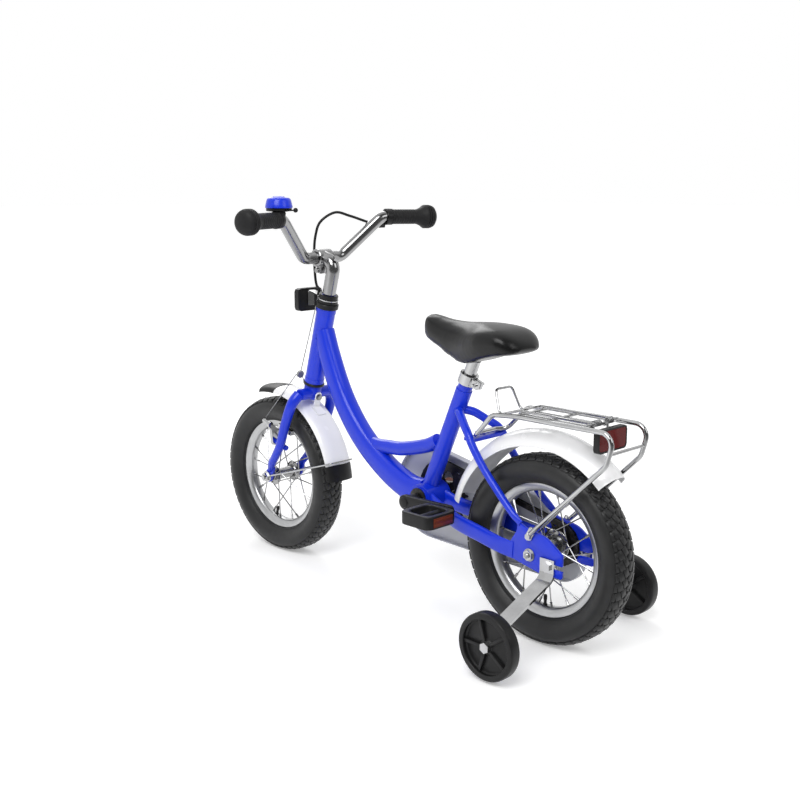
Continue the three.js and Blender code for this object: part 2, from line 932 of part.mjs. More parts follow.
function rectangle(width, height, corner) {
  const [x, y] = [width / 2, height / 2];
  return [
    [-x, -y, corner],
    [x, -y, corner],
    [x, y, corner],
    [-x, y, corner],
  ];
}

// Trays are turned from facing up to facing forward or backward
function facingForward(geometry) {
  return geometry.rotateY(Math.PI / 2).rotateX(Math.PI / 2);
}

function facingBackward(geometry) {
  return geometry.rotateY(-Math.PI / 2).rotateX(Math.PI / 2);
}

function placedFrontReflector(geometry) {
  const tilted = facingForward(geometry).rotateY(rad(headAngle));
  return tilted.translate(frontReflectorForward - frontReflectorDepth, 0, frontReflectorRise);
}

// Fenders: an arched section carried round the wheel
function fenderArch(edge, crown, from, to, steps, half = fenderHalf, wall = fenderWall) {
  const archSteps = 4;
  const rings = [];
  for (let i = 0; i <= steps; i += 1) {
    const angle = rad(THREE.MathUtils.lerp(from, to, i / steps));
    const ring = [];
    for (let side = 0; side < 2; side += 1) {
      for (let j = 0; j <= archSteps; j += 1) {
        const share = side === 0 ? j / archSteps : 1 - j / archSteps;
        const bow = Math.sin(share * Math.PI);
        const radius = edge + (crown - edge) * bow - side * wall;
        const narrow = half - side * wall * (1 - bow);
        ring.push(vec(
          radius * Math.cos(angle),
          -Math.cos(share * Math.PI) * narrow,
          radius * Math.sin(angle),
        ));
      }
    }
    rings.push(ring);
  }
  return stripLoft(rings);
}

// Like lofted, for thin sections whose second half of points runs back beside the first
function stripLoft(rings) {
  const sides = rings[0].length;
  const corners = [];
  for (let i = 0; i < rings.length - 1; i += 1) {
    for (let j = 0; j < sides; j += 1) {
      const [here, next] = [i * sides, (i + 1) * sides];
      const k = (j + 1) % sides;
      corners.push(here + j, here + k, next + k, here + j, next + k, next + j);
    }
  }
  const last = (rings.length - 1) * sides;
  for (let j = 0; j < sides / 2 - 1; j += 1) {
    const far = sides - 1 - j;
    corners.push(j, far, far - 1, j, far - 1, j + 1);
    corners.push(last + j, last + j + 1, last + far - 1, last + j, last + far - 1, last + far);
  }
  return outward(rings.flat(), corners);
}

function fenderFoot(angle, crown, centre) {
  return centre.clone().add(vec(crown * Math.cos(rad(angle)), 0, crown * Math.sin(rad(angle))));
}

// Wheels: an open tyre on a channel rim, laced to the hub by crossed spokes
function tyre() {
  const half = tyreWidth / 2;
  const bead = rimHalf - rimWall - seatGap * 1.1;
  const beadFoot = rimHalf - rimWall * 2 - seatGap * 1.1;
  const beadRadius = rimBed + seatGap;
  const middle = (rimOuter + tyreRadius) / 2;
  const wallTop = tyreRadius - treadDepth;
  const profile = [
    [beadRadius, beadFoot, 0],
    [rimOuter, bead, 0],
    [middle - tyreWall, half * 0.94, 0],
    [middle + tyreWall, half, 0],
    [wallTop - tyreWall / 2, half * 0.74, 1],
  ];
  const inside = [
    [middle + tyreWall * 2, half - tyreWall * 1.5, 0],
    [beadRadius, beadFoot - tyreWall / 2, 0],
  ];
  const outerSide = profile.map(([radius, y, block]) => ({ radius, y, block }));
  const outerBack = [...outerSide].reverse().map((point) => ({ ...point, y: -point.y }));
  const crown = { radius: tyreRadius, y: 0, block: 0 };
  const innerSide = inside.map(([radius, y]) => ({ radius, y, block: 0 }));
  const innerBack = [...innerSide].reverse().map((point) => ({ ...point, y: -point.y }));
  const section = [...outerSide, crown, ...outerBack, ...innerBack, ...innerSide];
  const steps = treadBlocks * 2;
  const rings = [];
  for (let i = 0; i < steps; i += 1) {
    const angle = ((i + 0.5) / steps) * Math.PI * 2;
    const raised = (i % 2) * treadDepth;
    rings.push(
      section.map(({ radius, y, block }) => {
        const reach = radius + block * raised;
        return vec(reach * Math.cos(angle), y, reach * Math.sin(angle));
      }),
    );
  }
  return lofted(rings, true);
}

function rim() {
  const profile = [
    [rimOuter, rimHalf],
    [rimOuter, rimHalf - rimWall],
    [rimBed, rimHalf - rimWall * 2],
    [rimBed, -rimHalf + rimWall * 2],
    [rimOuter, -rimHalf + rimWall],
    [rimOuter, -rimHalf],
    [rimInner, -rimHalf / 2],
    [rimInner, rimHalf / 2],
  ];
  const valve = pin(
    vec(0, 0, -rimInner - rimWall),
    vec(0, 0, -rimInner + valveLength),
    valveRadius,
    wireSides,
  );
  return joined(turned(profile, treadBlocks * 2), valve);
}

function spokedHub(hubRadius, flangeRadius, sprocketSide) {
  const edge = flangeOffset + flangeThick;
  const profile = [
    [axleRadius * 1.6, -hubHalf + sprocketSide],
    [hubRadius, -hubHalf + sprocketSide],
    [hubRadius, -edge],
    [flangeRadius, -edge],
    [flangeRadius, -flangeOffset],
    [hubRadius, -flangeOffset + flangeThick],
    [hubRadius, flangeOffset - flangeThick],
    [flangeRadius, flangeOffset],
    [flangeRadius, edge],
    [hubRadius, edge],
    [hubRadius, hubHalf],
    [axleRadius * 1.6, hubHalf],
  ];
  const hub = turned(profile, tubeSides);
  const reach = rimInner - seatGap * 3;
  const spokes = [];
  for (let i = 0; i < spokeCount; i += 1) {
    const side = i % 2 === 0 ? 1 : -1;
    const lean = Math.floor(i / 2) % 2 === 0 ? 1 : -1;
    const rimAngle = ((i + 0.5) / spokeCount) * Math.PI * 2;
    const hubAngle = rimAngle + rad(spokeLean) * lean;
    const offset = side * (flangeOffset + flangeThick / 2 + lean * flangeThick * 0.3);
    const hubRing = flangeRadius - flangeThick * 1.2;
    const from = vec(hubRing * Math.cos(hubAngle), offset, hubRing * Math.sin(hubAngle));
    const to = vec(reach * Math.cos(rimAngle), (side * rimHalf) / 4, reach * Math.sin(rimAngle));
    spokes.push(tube([from, to], spokeRadius, 3, acrossY));
  }
  return joined(hub, ...spokes);
}

// Wheel axle of one length, with its cones and its two nuts
function wheelAxle(tipInner, tipOuter) {
  const axle = crossPin(
    0,
    0,
    -tipOuter - nutHeight - axleEnd,
    tipOuter + nutHeight + axleEnd,
    axleRadius,
    rodSides,
  );
  const parts = [axle];
  for (const side of [1, -1]) {
    const nutFrom = side * (tipOuter + seatGap);
    parts.push(hexagon(vec(0, nutFrom, 0), vec(0, nutFrom + side * nutHeight, 0), nutAcross));
    parts.push(crossPin(
      0,
      0,
      side * (hubHalf + seatGap),
      side * (tipInner - seatGap),
      axleRadius * 1.5,
      rodSides,
    ));
  }
  return joined(...parts);
}

// Chain drive: toothed wheels whose teeth stand between the chain's rollers
const pitchRadius = (teeth) => chainPitch / (2 * Math.sin(Math.PI / teeth));

function toothedOutline(teeth) {
  const pitch = pitchRadius(teeth);
  const points = [];
  for (let i = 0; i < teeth; i += 1) {
    const step = (Math.PI * 2) / teeth;
    const middle = (i + 0.5) * step;
    const root = pitch - rollerRadius - seatGap;
    const places = [
      [-toothBase / 2, root],
      [-toothTip / 2, pitch + toothHeight],
      [toothTip / 2, pitch + toothHeight],
      [toothBase / 2, root],
    ];
    places.forEach(([along, out]) => {
      const angle = middle + along / pitch;
      points.push(new THREE.Vector2(out * Math.cos(angle), out * Math.sin(angle)));
    });
  }
  return new THREE.Shape(points);
}

function holeRing(shape, count, ring, radius, sides) {
  for (let i = 0; i < count; i += 1) {
    const angle = ((i + 0.5) / count) * Math.PI * 2;
    const hole = roundOutline(sides, radius, radius).getPoints();
    hole.forEach((point) => point.add(new THREE.Vector2(ring * Math.cos(angle), ring * Math.sin(angle))));
    shape.holes.push(new THREE.Path(hole));
  }
  return shape;
}

function chainring() {
  const pitch = pitchRadius(ringTeeth);
  const shape = toothedOutline(ringTeeth);
  const hubHole = spindleRadius + seatGap;
  shape.holes.push(new THREE.Path(roundOutline(fineSides, hubHole, hubHole).getPoints()));
  const arms = 5;
  holeRing(shape, arms, pitch * 0.56, pitch * 0.22, rodSides);
  const plate = sidePlate(shape, -chainLine - toothThick / 2, -chainLine + toothThick / 2);
  return plate.rotateY(-meshAngle(crankCentre, 1));
}

function sprocket() {
  const shape = toothedOutline(sprocketTeeth);
  const disc = sidePlate(shape, -chainLine - toothThick / 2, -chainLine + toothThick / 2);
  const carrier = crossPin(0, 0, -hubHalf - seatGap * 2, -chainLine, rearHubRadius, fineSides);
  const bore = crossPin(0, 0, -plateInner, 0, clearOf(axleRadius * 1.5, runningGap), tubeSides);
  return without(joined(disc.rotateY(-meshAngle(axleCentre, -1)), carrier), bore);
}

// The pitch line of the chain: two straight runs that touch both wheels
function chainPath() {
  const big = pitchRadius(ringTeeth);
  const small = pitchRadius(sprocketTeeth);
  const span = vec(crankForward, 0, crankHeight - tyreRadius);
  const distance = span.length();
  const tilt = Math.atan2(span.z, span.x);
  const open = Math.acos((big - small) / distance);
  const upper = tilt + open;
  const lower = tilt - open;
  const at = (centre, radius, angle) =>
    vec(centre.x + radius * Math.cos(angle), 0, centre.z + radius * Math.sin(angle));
  const path = new THREE.CurvePath();
  const run = (from, to) => path.add(new THREE.LineCurve3(from, to));
  const arcSteps = 72;
  const arc = (centre, radius, from, to) => {
    for (let i = 0; i < arcSteps; i += 1) {
      const start = THREE.MathUtils.lerp(from, to, i / arcSteps);
      const end = THREE.MathUtils.lerp(from, to, (i + 1) / arcSteps);
      run(at(centre, radius, start), at(centre, radius, end));
    }
  };
  arc(crankCentre, big, lower, upper);
  run(at(crankCentre, big, upper), at(axleCentre, small, upper));
  arc(axleCentre, small, upper, lower + Math.PI * 2);
  run(at(axleCentre, small, lower), at(crankCentre, big, lower));
  return path;
}

function chainPins() {
  const path = chainPath();
  path.arcLengthDivisions = chainLinks * 20;
  const pins = [];
  for (let i = 0; i < chainLinks; i += 1) pins.push(path.getPointAt(i / chainLinks));
  return pins;
}

// The angle at which a toothed wheel's gaps meet the pins that lie round it
function meshAngle(centre, ahead) {
  const pins = chainPins();
  const outermost = pins.reduce((best, place) => ((place.x - best.x) * ahead > 0 ? place : best));
  return Math.atan2(outermost.z - centre.z, outermost.x - centre.x);
}

function chain() {
  const pins = chainPins();
  const strips = [1, -1].map((side) => {
    const inner = -chainLine + (side * chainSlot) / 2;
    const outer = inner + side * chainPlate;
    const rings = [];
    pins.forEach((place, i) => {
      const next = pins[(i + 1) % chainLinks];
      const before = pins.at(i - 1);
      rings.push(plateRing(place, next.clone().sub(before), chainPlateHeight / 2, inner, outer));
    });
    return lofted(rings, true);
  });
  const half = chainSlot / 2 + chainPlate / 2;
  const rollers = pins.map((place) => crossPin(
    place.x,
    place.z,
    -chainLine - half,
    -chainLine + half,
    rollerRadius,
    rollerSides,
  ));
  return joined(...strips, ...rollers);
}

function plateRing(place, way, half, inner, outer) {
  const over = vec(-way.z, 0, way.x).normalize();
  const corners = [
    [half, inner],
    [half, outer],
    [-half, outer],
    [-half, inner],
  ];
  return corners.map(([out, y]) => vec(place.x + over.x * out, y, place.z + over.z * out));
}

// Cranks on one spindle, the left one pointing back
const crankBack = vec(-Math.cos(rad(crankAngle)), 0, Math.sin(rad(crankAngle)));

function crankArm() {
  const length = crankLength;
  const end = crankArmWidth / 2;
  const shape = new THREE.Shape();
  shape.absarc(0, 0, crankBossRadius, Math.PI * 0.35, Math.PI * 1.65, false);
  shape.absarc(length, 0, end, -Math.PI * 0.45, Math.PI * 0.45, false);
  const inner = crankArmOuter - crankArmThick;
  const plate = sidePlate(new THREE.Shape(shape.getPoints(4)), inner, crankArmOuter);
  const pedalHole = crossPin(
    length,
    0,
    inner - overrun,
    crankArmOuter + overrun,
    clearOf(pedalAxleRadius, runningGap),
    fineSides,
  );
  return without(plate, pedalHole);
}

function crankset() {
  const left = crankArm().rotateY(Math.PI + rad(crankAngle));
  const right = mirrored(crankArm()).rotateY(rad(crankAngle));
  const inner = crankArmOuter - crankArmThick / 2;
  const spindle = crossPin(0, 0, -inner, inner, spindleRadius, fineSides);
  const boss = crossPin(0, 0, shellHalf + bracketFlangeThick * 4, inner, crankBossRadius * 0.8, fineSides);
  return joined(spindle, boss, left, right).translate(crankForward, 0, crankHeight);
}

function bottomBracket() {
  const end = shellHalf + shellRimLength + seatGap;
  const profile = [
    [clearOf(spindleRadius, runningGap), -end - bracketFlangeThick],
    [bracketFlange, -end - bracketFlangeThick],
    [bracketFlange, -end],
    [bracketRadius, -end],
    [bracketRadius, end],
    [bracketFlange, end],
    [bracketFlange, end + bracketFlangeThick],
    [clearOf(spindleRadius, runningGap), end + bracketFlangeThick],
  ];
  return turned(profile, tubeSides).translate(crankForward, 0, crankHeight);
}

// Pedal: a moulded frame with open tread either side of the barrel, and its axle
function pedal() {
  const [halfLong, halfWide] = [pedalLength / 2, pedalWidth / 2];
  const centreY = crankArmOuter + pedalGap + halfWide;
  const shape = roundedOutline(rectangle(pedalLength, pedalWidth, pedalRim), 2);
  const openLong = halfLong - pedalRim;
  const openWide = halfWide - pedalRim;
  const corners = [
    [-openLong, -openWide, pedalRim / 3],
    [openLong / 3, -openWide, openLong],
    [openLong, 0, openWide],
    [openLong / 3, openWide, openLong],
    [-openLong, openWide, pedalRim / 3],
  ];
  const frame = slab(shape, pedalThick).translate(0, centreY, -pedalThick / 2);
  const window = slab(roundedOutline(corners, 2), pedalThick * 2).translate(0, centreY, -pedalThick);
  const barrel = crossPin(
    0,
    0,
    centreY - halfWide + pedalRim / 2,
    centreY + halfWide - pedalRim / 2,
    pedalBarrel,
  );
  const body = joined(without(frame, window), barrel);
  const axle = crossPin(0, 0, crankArmOuter - crankArmThick, centreY, pedalAxleRadius, fineSides);
  const collar = crossPin(
    0,
    0,
    crankArmOuter + runningGap,
    centreY - halfWide + pedalRim / 2,
    pedalAxleRadius * 1.6,
  );
  const place = crankCentre.clone().addScaledVector(crankBack, crankLength);
  return joined(body, axle, collar).translate(place.x, 0, place.z);
}

// Chain guard: a flat case with an inward rim, wide over the chainring and narrow at the axle
function guardOutline(inset) {
  const shape = new THREE.Shape();
  const front = crankCentre.clone().add(vec(guardFrontForward, 0, -guardFrontDrop));
  const frontRadius = guardFrontRadius - inset;
  shape.absarc(front.x, front.z, frontRadius, -Math.PI * 0.47, Math.PI * 0.62, false);
  shape.lineTo(crankForward * 0.215, crankHeight * 1.16 - inset);
  shape.lineTo(crankForward * 0.08, crankHeight * 1.01 - inset);
  const rearRadius = guardRearRadius - inset;
  shape.absarc(
    guardRearForward,
    tyreRadius - guardRearDrop,
    rearRadius,
    Math.PI * 0.6,
    Math.PI * 1.47,
    false,
  );
  return new THREE.Shape(shape.getPoints(5));
}

function chainGuard() {
  const outer = -guardInner - guardWall;
  const plate = sidePlate(guardOutline(0), outer, -guardInner);
  const band = guardOutline(0);
  band.holes.push(new THREE.Path(guardOutline(guardWall).getPoints()));
  const rimBand = sidePlate(band, outer + guardWall / 2, -guardInner + guardDepth);
  const plateRoom = block(
    vec(-plateRear - overrun, -guardInner + seatGap, tyreRadius - plateBottom - overrun),
    vec(plateRear * 1.3, 0, crankHeight * 1.4),
  );
  const standOff = crossPin(
    crankForward * 0.62,
    crankHeight * 0.91,
    -guardInner - guardWall / 2,
    -plateMiddle * 0.9 - chainStayThick / 2 - seatGap,
    trainerBolt,
  );
  const boltPlace = [supportForward, tyreRadius - supportBoltDrop];
  const boss = crossPin(
    ...boltPlace,
    -guardInner - guardWall / 2,
    -plateInner - plateThick - seatGap,
    trainerBolt * 1.4,
  );
  const crankHole = crossPin(crankForward, crankHeight, outer - overrun, 0, guardCrankHole, fineSides);
  const boltTool = crossPin(...boltPlace, outer - overrun, 0, clearOf(trainerBolt / 2, seatGap, rodSides));
  const nutRoom = crossPin(0, tyreRadius, outer - overrun, 0, nutAcross * 0.7, tubeSides);
  return without(
    joined(without(joined(plate, rimBand), plateRoom), standOff, boss),
    crankHole,
    boltTool,
    nutRoom,
  );
}

// Training wheel support: a bent strip from the axle plate down to the small wheel's bolt
function trainerSupport(inner) {
  const middle = inner + supportThick / 2;
  const low = trainerRadius + trainerFloat;
  const reach = supportReach - supportThick / 2;
  const route = bent(
    [
      vec(supportForward, middle, supportTop),
      vec(supportForward, middle, supportBend),
      vec(supportForward, reach, supportLowBend),
      vec(supportForward, reach, supportEnd),
    ],
    supportStrip / 2,
  );
  const strip = swept(boxOutline(supportStrip, supportThick), route, acrossX);
  const wheelBolt = crossPin(
    supportForward,
    low,
    reach - supportThick,
    supportReach + trainerGap + trainerWidth - axleEnd / 2,
    axleRadius,
    fineSides,
  );
  const head = hexagon(
    vec(supportForward, reach - supportThick / 2 - nutHeight, low),
    vec(supportForward, reach, low),
    nutAcross,
  );
  const faceOut = supportReach + trainerGap + trainerWidth - trainerDish + seatGap;
  const nut = hexagon(
    vec(supportForward, faceOut, low),
    vec(supportForward, faceOut + nutHeight, low),
    nutAcross,
  );
  return joined(strip, supportBolt(inner + supportThick), wheelBolt, head, nut);
}

function supportBolt(outerFace) {
  const z = tyreRadius - supportBoltDrop;
  const shaft = crossPin(
    supportForward,
    z,
    plateInner + seatGap,
    outerFace + nutHeight / 2,
    trainerBolt / 2,
  );
  const head = hexagon(
    vec(supportForward, outerFace - supportThick / 2, z),
    vec(supportForward, outerFace + nutHeight * 0.7, z),
    nutAcross,
  );
  return joined(shaft, head);
}

function trainingWheel() {
  const inner = supportReach + trainerGap;
  const outer = inner + trainerWidth;
  const middle = (inner + outer) / 2;
  const rimRadius = trainerRadius - trainerBand;
  const profile = [
    [clearOf(axleRadius, runningGap), inner - trainerGap + seatGap],
    [trainerHub * 0.8, inner - trainerGap + seatGap],
    [trainerHub, middle - trainerWeb / 2],
    [rimRadius, middle - trainerWeb / 2],
    [rimRadius, inner],
    [trainerRadius - trainerBand / 3, inner],
    [trainerRadius, inner + trainerBand / 3],
    [trainerRadius, outer - trainerBand / 3],
    [trainerRadius - trainerBand / 3, outer],
    [rimRadius, outer],
    [rimRadius, middle + trainerWeb / 2],
    [trainerHub, middle + trainerWeb / 2],
    [trainerHub, outer - trainerDish],
    [clearOf(axleRadius, runningGap), outer - trainerDish],
  ];
  const ribs = [];
  for (let i = 0; i < trainerRibs; i += 1) {
    const rib = block(
      vec(trainerHub * 0.8, inner + trainerBand / 4, -trainerRibWidth / 2),
      vec(rimRadius + trainerBand / 4, outer - trainerBand / 4, trainerRibWidth / 2),
    );
    ribs.push(rib.rotateY((i / trainerRibs) * Math.PI * 2));
  }
  const wheel = joined(turned(profile, fineSides), ...ribs);
  return wheel.translate(supportForward, 0, trainerRadius + trainerFloat);
}

// Rear carrier: bent side rods, cross bars and deck wires in one welded frame
function carrierSide() {
  const route = bent(
    [
      vec(bridgeForward - carrierRod, bridgeRadius * 4, bridgeHeight + carrierRod * 2.3),
      vec(bridgeForward - carrierRod * 4, carrierHalf * 0.9, bridgeHeight + carrierRod * 2.3),
      vec(carrierFront + carrierRod * 4, carrierHalf, carrierHeight - carrierRod),
      vec(carrierFront - carrierRod * 8, carrierHalf, carrierHeight),
      vec(-carrierRear, carrierHalf, carrierHeight),
      vec(-carrierHoop - carrierRod, carrierHalf, carrierHeight - carrierRod),
      vec(-carrierHoop, carrierHalf, carrierHeight - carrierHoopDrop),
      vec(-carrierEndBack, carrierHalf, carrierEndHeight),
      vec(
        -carrierRod,
        plateInner + plateThick + seatGap + carrierRod,
        tyreRadius + rackBoltRise + carrierRod * 1.4,
      ),
    ],
    carrierRod * 5,
  );
  return tube(route, carrierRod, wireSides);
}

function carrierEnd() {
  const outer = plateInner + plateThick + seatGap;
  const height = tyreRadius + rackBoltRise;
  const eye = crossPin(0, height, outer, outer + carrierRod, carrierRod * 2, tubeSides);
  const bolt = crossPin(0, height, plateInner + seatGap, outer + carrierRod, trainerBolt / 2);
  const boltHead = hexagon(
    vec(0, outer + carrierRod / 2, height),
    vec(0, outer + carrierRod * 1.5, height),
    carrierRod * 2,
  );
  return joined(eye, bolt, boltHead);
}

function carrierBar(x, z, radius) {
  return crossPin(x, z, -carrierHalf, carrierHalf, radius, wireSides);
}

const clipPivotHeight = carrierHeight + carrierWire + clipWire + seatGap * 2;
const deckHeight = carrierHeight;

function rearRack() {
  const side = carrierSide();
  const end = carrierEnd();
  const bars = [
    carrierBar(carrierFront * 0.55, deckHeight, carrierWire),
    carrierBar(-carrierFront * 0.36, deckHeight, carrierWire),
    carrierBar(-carrierRear, deckHeight, carrierWire),
    carrierBar(-carrierHoop, carrierHeight - carrierHoopDrop, carrierWire),
  ];
  const wires = [1, -1].map((out) =>
    pin(
      vec(carrierFront * 0.55, (out * carrierHalf) / 3, deckHeight - carrierWire),
      vec(-carrierRear, (out * carrierHalf) / 3, deckHeight - carrierWire),
      carrierWire * 0.8,
      wireSides,
    ),
  );
  const ears = [1, -1].map((out) => clipEar(out));
  const front = pin(
    vec(bridgeForward - carrierRod, -bridgeRadius * 4, bridgeHeight + carrierRod * 2.3),
    vec(bridgeForward - carrierRod, bridgeRadius * 4, bridgeHeight + carrierRod * 2.3),
    carrierRod,
    rodSides,
  );
  const lensStrut = reflectorStruts();
  return joined(side, mirrored(side), end, mirrored(end), ...bars, ...wires, ...ears, front, ...lensStrut);
}

function clipEar(out) {
  const y = out * (clipHalf + clipWire * 4);
  const ear = pin(
    vec(-clipPivotBack, y, clipPivotHeight),
    vec(-carrierRear, y, deckHeight),
    carrierWire,
    wireSides,
  );
  const post = crossPin(
    -clipPivotBack,
    clipPivotHeight,
    y - out * clipWire * 6,
    y + out * carrierWire,
    clipWire / 2,
    wireSides,
  );
  return joined(ear, post);
}

function reflectorStruts() {
  const back = rearReflectorBack - rearReflectorDepth;
  const height = rearReflectorTop - rearReflectorHeight / 2;
  return [1, -1].map((out) => {
    const y = (out * rearReflectorHalf) / 2;
    const route = [
      vec(-carrierRear, y, deckHeight),
      vec(-back + carrierWire * 3, y, height + carrierWire * 2),
      vec(-back + carrierWire + seatGap, y, height),
      vec(-back + carrierWire + seatGap, y, height - carrierWire * 3),
    ];
    return tube(route, carrierWire, wireSides);
  });
}

// Spring clip of the carrier: a flap of bent wire with an upright handle
function rackClip() {
  const z = clipPivotHeight;
  const half = clipHalf;
  const front = z - clipDip;
  const bend = carrierFront * 0.55 + carrierWire * 2;
  const leg = [
    vec(-clipPivotBack, half, z),
    vec(bend, half, z),
    vec(clipFront, half, front),
    vec(clipFront + clipLean, clipTopHalf, front + clipRise),
  ];
  const otherLeg = leg.map(mirroredPlace).reverse();
  const route = bent([...leg, ...otherLeg], clipWire * 3);
  const frame = tube(route, clipWire, wireSides, vec(0, 1, 0.2).normalize());
  const brace = crossPin(clipFront * 0.5, z, -half, half, clipWire * 0.8, wireSides);
  const eyes = [1, -1].map((out) =>
    crossPin(-clipPivotBack, z, out * (half - clipWire), out * (half + clipWire), clipWire * 1.4, rodSides),
  );
  const bore = crossPin(
    -clipPivotBack,
    z,
    -half * 2,
    half * 2,
    clearOf(clipWire / 2, runningGap / 2, wireSides),
    wireSides,
  );
  return without(joined(frame, brace, ...eyes), bore);
}

// Coil springs round the clip's pivot, each one unbroken wire
function clipSpring(out) {
  const curlSteps = 8;
  const coilRadius = clipWire + springWire * 2;
  const start = clipHalf - clipWire - seatGap * 2 - springWire;
  const rings = [];
  const steps = springTurns * curlSteps;
  for (let i = 0; i <= steps; i += 1) {
    const angle = (i / curlSteps) * Math.PI * 2;
    const centre = vec(Math.cos(angle), 0, Math.sin(angle));
    const y = start - (springLength * i) / steps;
    const ring = [];
    for (let j = 0; j < 5; j += 1) {
      const turn = (j / 5) * Math.PI * 2;
      const radius = coilRadius + springWire * Math.cos(turn);
      ring.push(vec(
        centre.x * radius - clipPivotBack,
        out * (y + springWire * Math.sin(turn)),
        centre.z * radius + clipPivotHeight,
      ));
    }
    rings.push(ring);
  }
  console.log(`rack spring: least gap between curls ${leastCurlGap(rings, curlSteps).toFixed(2)} mm`);
  return lofted(rings);
}

// The least distance between points of the wire that lie at least most of a curl apart
function leastCurlGap(rings, curlSteps) {
  let least = Infinity;
  for (let i = 0; i < rings.length; i += 1) {
    for (let j = i + curlSteps - 2; j < rings.length; j += 1) {
      for (const here of rings[i]) {
        for (const there of rings[j]) least = Math.min(least, here.distanceTo(there));
      }
    }
  }
  return least;
}

// Stem and handlebar, in the steering's own frame
const barRearAhead = barForward - barTopBack;
const gripWay = vec(-gripSweep, gripEnd - barTopHalf, gripClimb).normalize();

function barRoute() {
  const side = [
    vec(barForward, barLowHalf, barRise),
    vec(barRearAhead, barTopHalf, barRise + barTopRise),
    barPlace(gripEnd - knobLength / 4),
  ];
  const otherSide = side.map((place) => vec(place.x, -place.y, place.z)).reverse();
  return bent([...otherSide, ...side], barRadius * 2);
}

function handlebar() {
  return tube(barRoute(), barRadius, tubeSides, upright);
}

function stem() {
  const quill = pin(
    vec(0, 0, headLength / 2 + overrun),
    vec(0, 0, stemStop + overrun),
    quillRadius,
    tubeSides,
  );
  const route = bent(
    [
      vec(0, 0, stemStop),
      vec(0, 0, barRise),
      vec(barForward, 0, barRise + clampRadius / 6),
    ],
    clampRadius * 1.6,
  );
  const neck = tube(route, steererRadius, tubeSides);
  const clamp = crossPin(barForward, barRise, -clampHalf, clampHalf, clampRadius, fineSides);
  const ears = block(
    vec(barForward - clampRadius * 0.9, -clampHalf / 1.3, barRise - clampRadius * 1.7),
    vec(barForward - clampRadius * 0.1, clampHalf / 1.3, barRise - clampRadius / 2),
  );
  const boltPlace = vec(barForward - clampRadius / 2, 0, barRise - clampRadius * 1.35);
  const bolt = pin(
    boltPlace.clone().add(vec(-clampRadius * 0.8, 0, 0)),
    boltPlace.clone().add(vec(clampRadius * 0.9, 0, 0)),
    trainerBolt * 0.7,
    wireSides,
  );
  const barTool = crossPin(
    barForward,
    barRise,
    -clampHalf * 2,
    clampHalf * 2,
    clearOf(barRadius),
    fineSides,
  );
  return without(joined(quill, neck, clamp, ears, bolt), barTool);
}

// Grip: ridged sleeve with a round guard knob at its closed end
function grip() {
  const start = barPlace(gripStart);
  const length = barPlace(gripEnd).clone().sub(start).length();
  const ridgeCount = 2;
  const ridge = gripRadius * 0.08;
  const knobStart = length - knobLength;
  const profile = [[clearOf(barRadius), 0]];
  for (let i = 0; i < ridgeCount; i += 1) {
    const from = (knobStart * i) / ridgeCount;
    const pitch = knobStart / ridgeCount;
    profile.push([gripRadius + ridge, from + pitch * 0.1], [gripRadius + ridge, from + pitch * 0.6]);
    profile.push([gripRadius - ridge, from + pitch * 0.7], [gripRadius - ridge, from + pitch]);
  }
  profile.push(
    [knobRadius * 0.7, knobStart + knobLength * 0.05],
    [knobRadius, knobStart + knobLength * 0.22],
    [knobRadius, knobStart + knobLength * 0.72],
    [knobRadius * 0.72, knobStart + knobLength * 0.95],
    [0, length],
    [0, length - knobLength / 5],
    [clearOf(barRadius), length - knobLength / 5],
  );
  return laidAlong(turned(profile, tubeSides), start, gripWay);
}

// The handlebar's centre at a distance to the side, past the upper bend
function barPlace(side) {
  return vec(barRearAhead, barTopHalf, barRise + barTopRise).addScaledVector(
    gripWay,
    (side - barTopHalf) / gripWay.y,
  );
}

// Bell: clamp and base under a pressed dome, with a striker on a spring wire
const bellCentre = barPlace(bellPlace).add(vec(bellAhead, -bellInset, 0));
const bellBaseLift = barRadius * 1.75;
const bellBase = bellCentre.clone().add(vec(0, 0, bellBaseLift));

function bellMount() {
  const foot = barPlace(bellPlace);
  const strapHalf = bellHeight * 0.36;
  const strap = laidAlong(
    turned(
      [
        [clearOf(barRadius), -strapHalf],
        [barRadius * 1.3, -strapHalf],
        [barRadius * 1.3, strapHalf],
        [clearOf(barRadius), strapHalf],
      ],
      fineSides,
    ),
    foot,
    gripWay,
  );
  const platter = turnedUpright(
    [
      [0, -bellHeight * 0.45],
      [bellRadius * 0.55, -bellHeight * 0.45],
      [bellRadius * 0.9, -bellHeight * 0.12],
      [bellRadius * 0.9, 0],
      [0, 0],
    ],
    fineSides,
  ).translate(bellBase.x, bellBase.y, bellBase.z);
  const pillar = pin(bellBase, bellBase.clone().add(vec(0, 0, bellHeight * 0.9)), cableRadius);
  const barTool = tube(barRoute(), clearOf(barRadius), tubeSides, upright);
  const strikerPin = pin(
    strikerPivot.clone().add(vec(0, 0, -bellHeight * 0.35)),
    strikerPivot.clone().add(vec(0, 0, strikerThick)),
    cableRadius / 1.6,
    wireSides,
  );
  return joined(without(joined(strap, platter, pillar), barTool), strikerPin);
}

const strikerThick = 3;
const strikerPivot = bellBase.clone().add(vec(-bellRadius * 0.68, -bellRadius * 0.05, 0));
const strikerRise = (strikerThick + seatGap * 4) / 2;

const domeShares = [
  [1, 0],
  [0.97, 0.5],
  [0.8, 0.86],
  [0, 1],
];

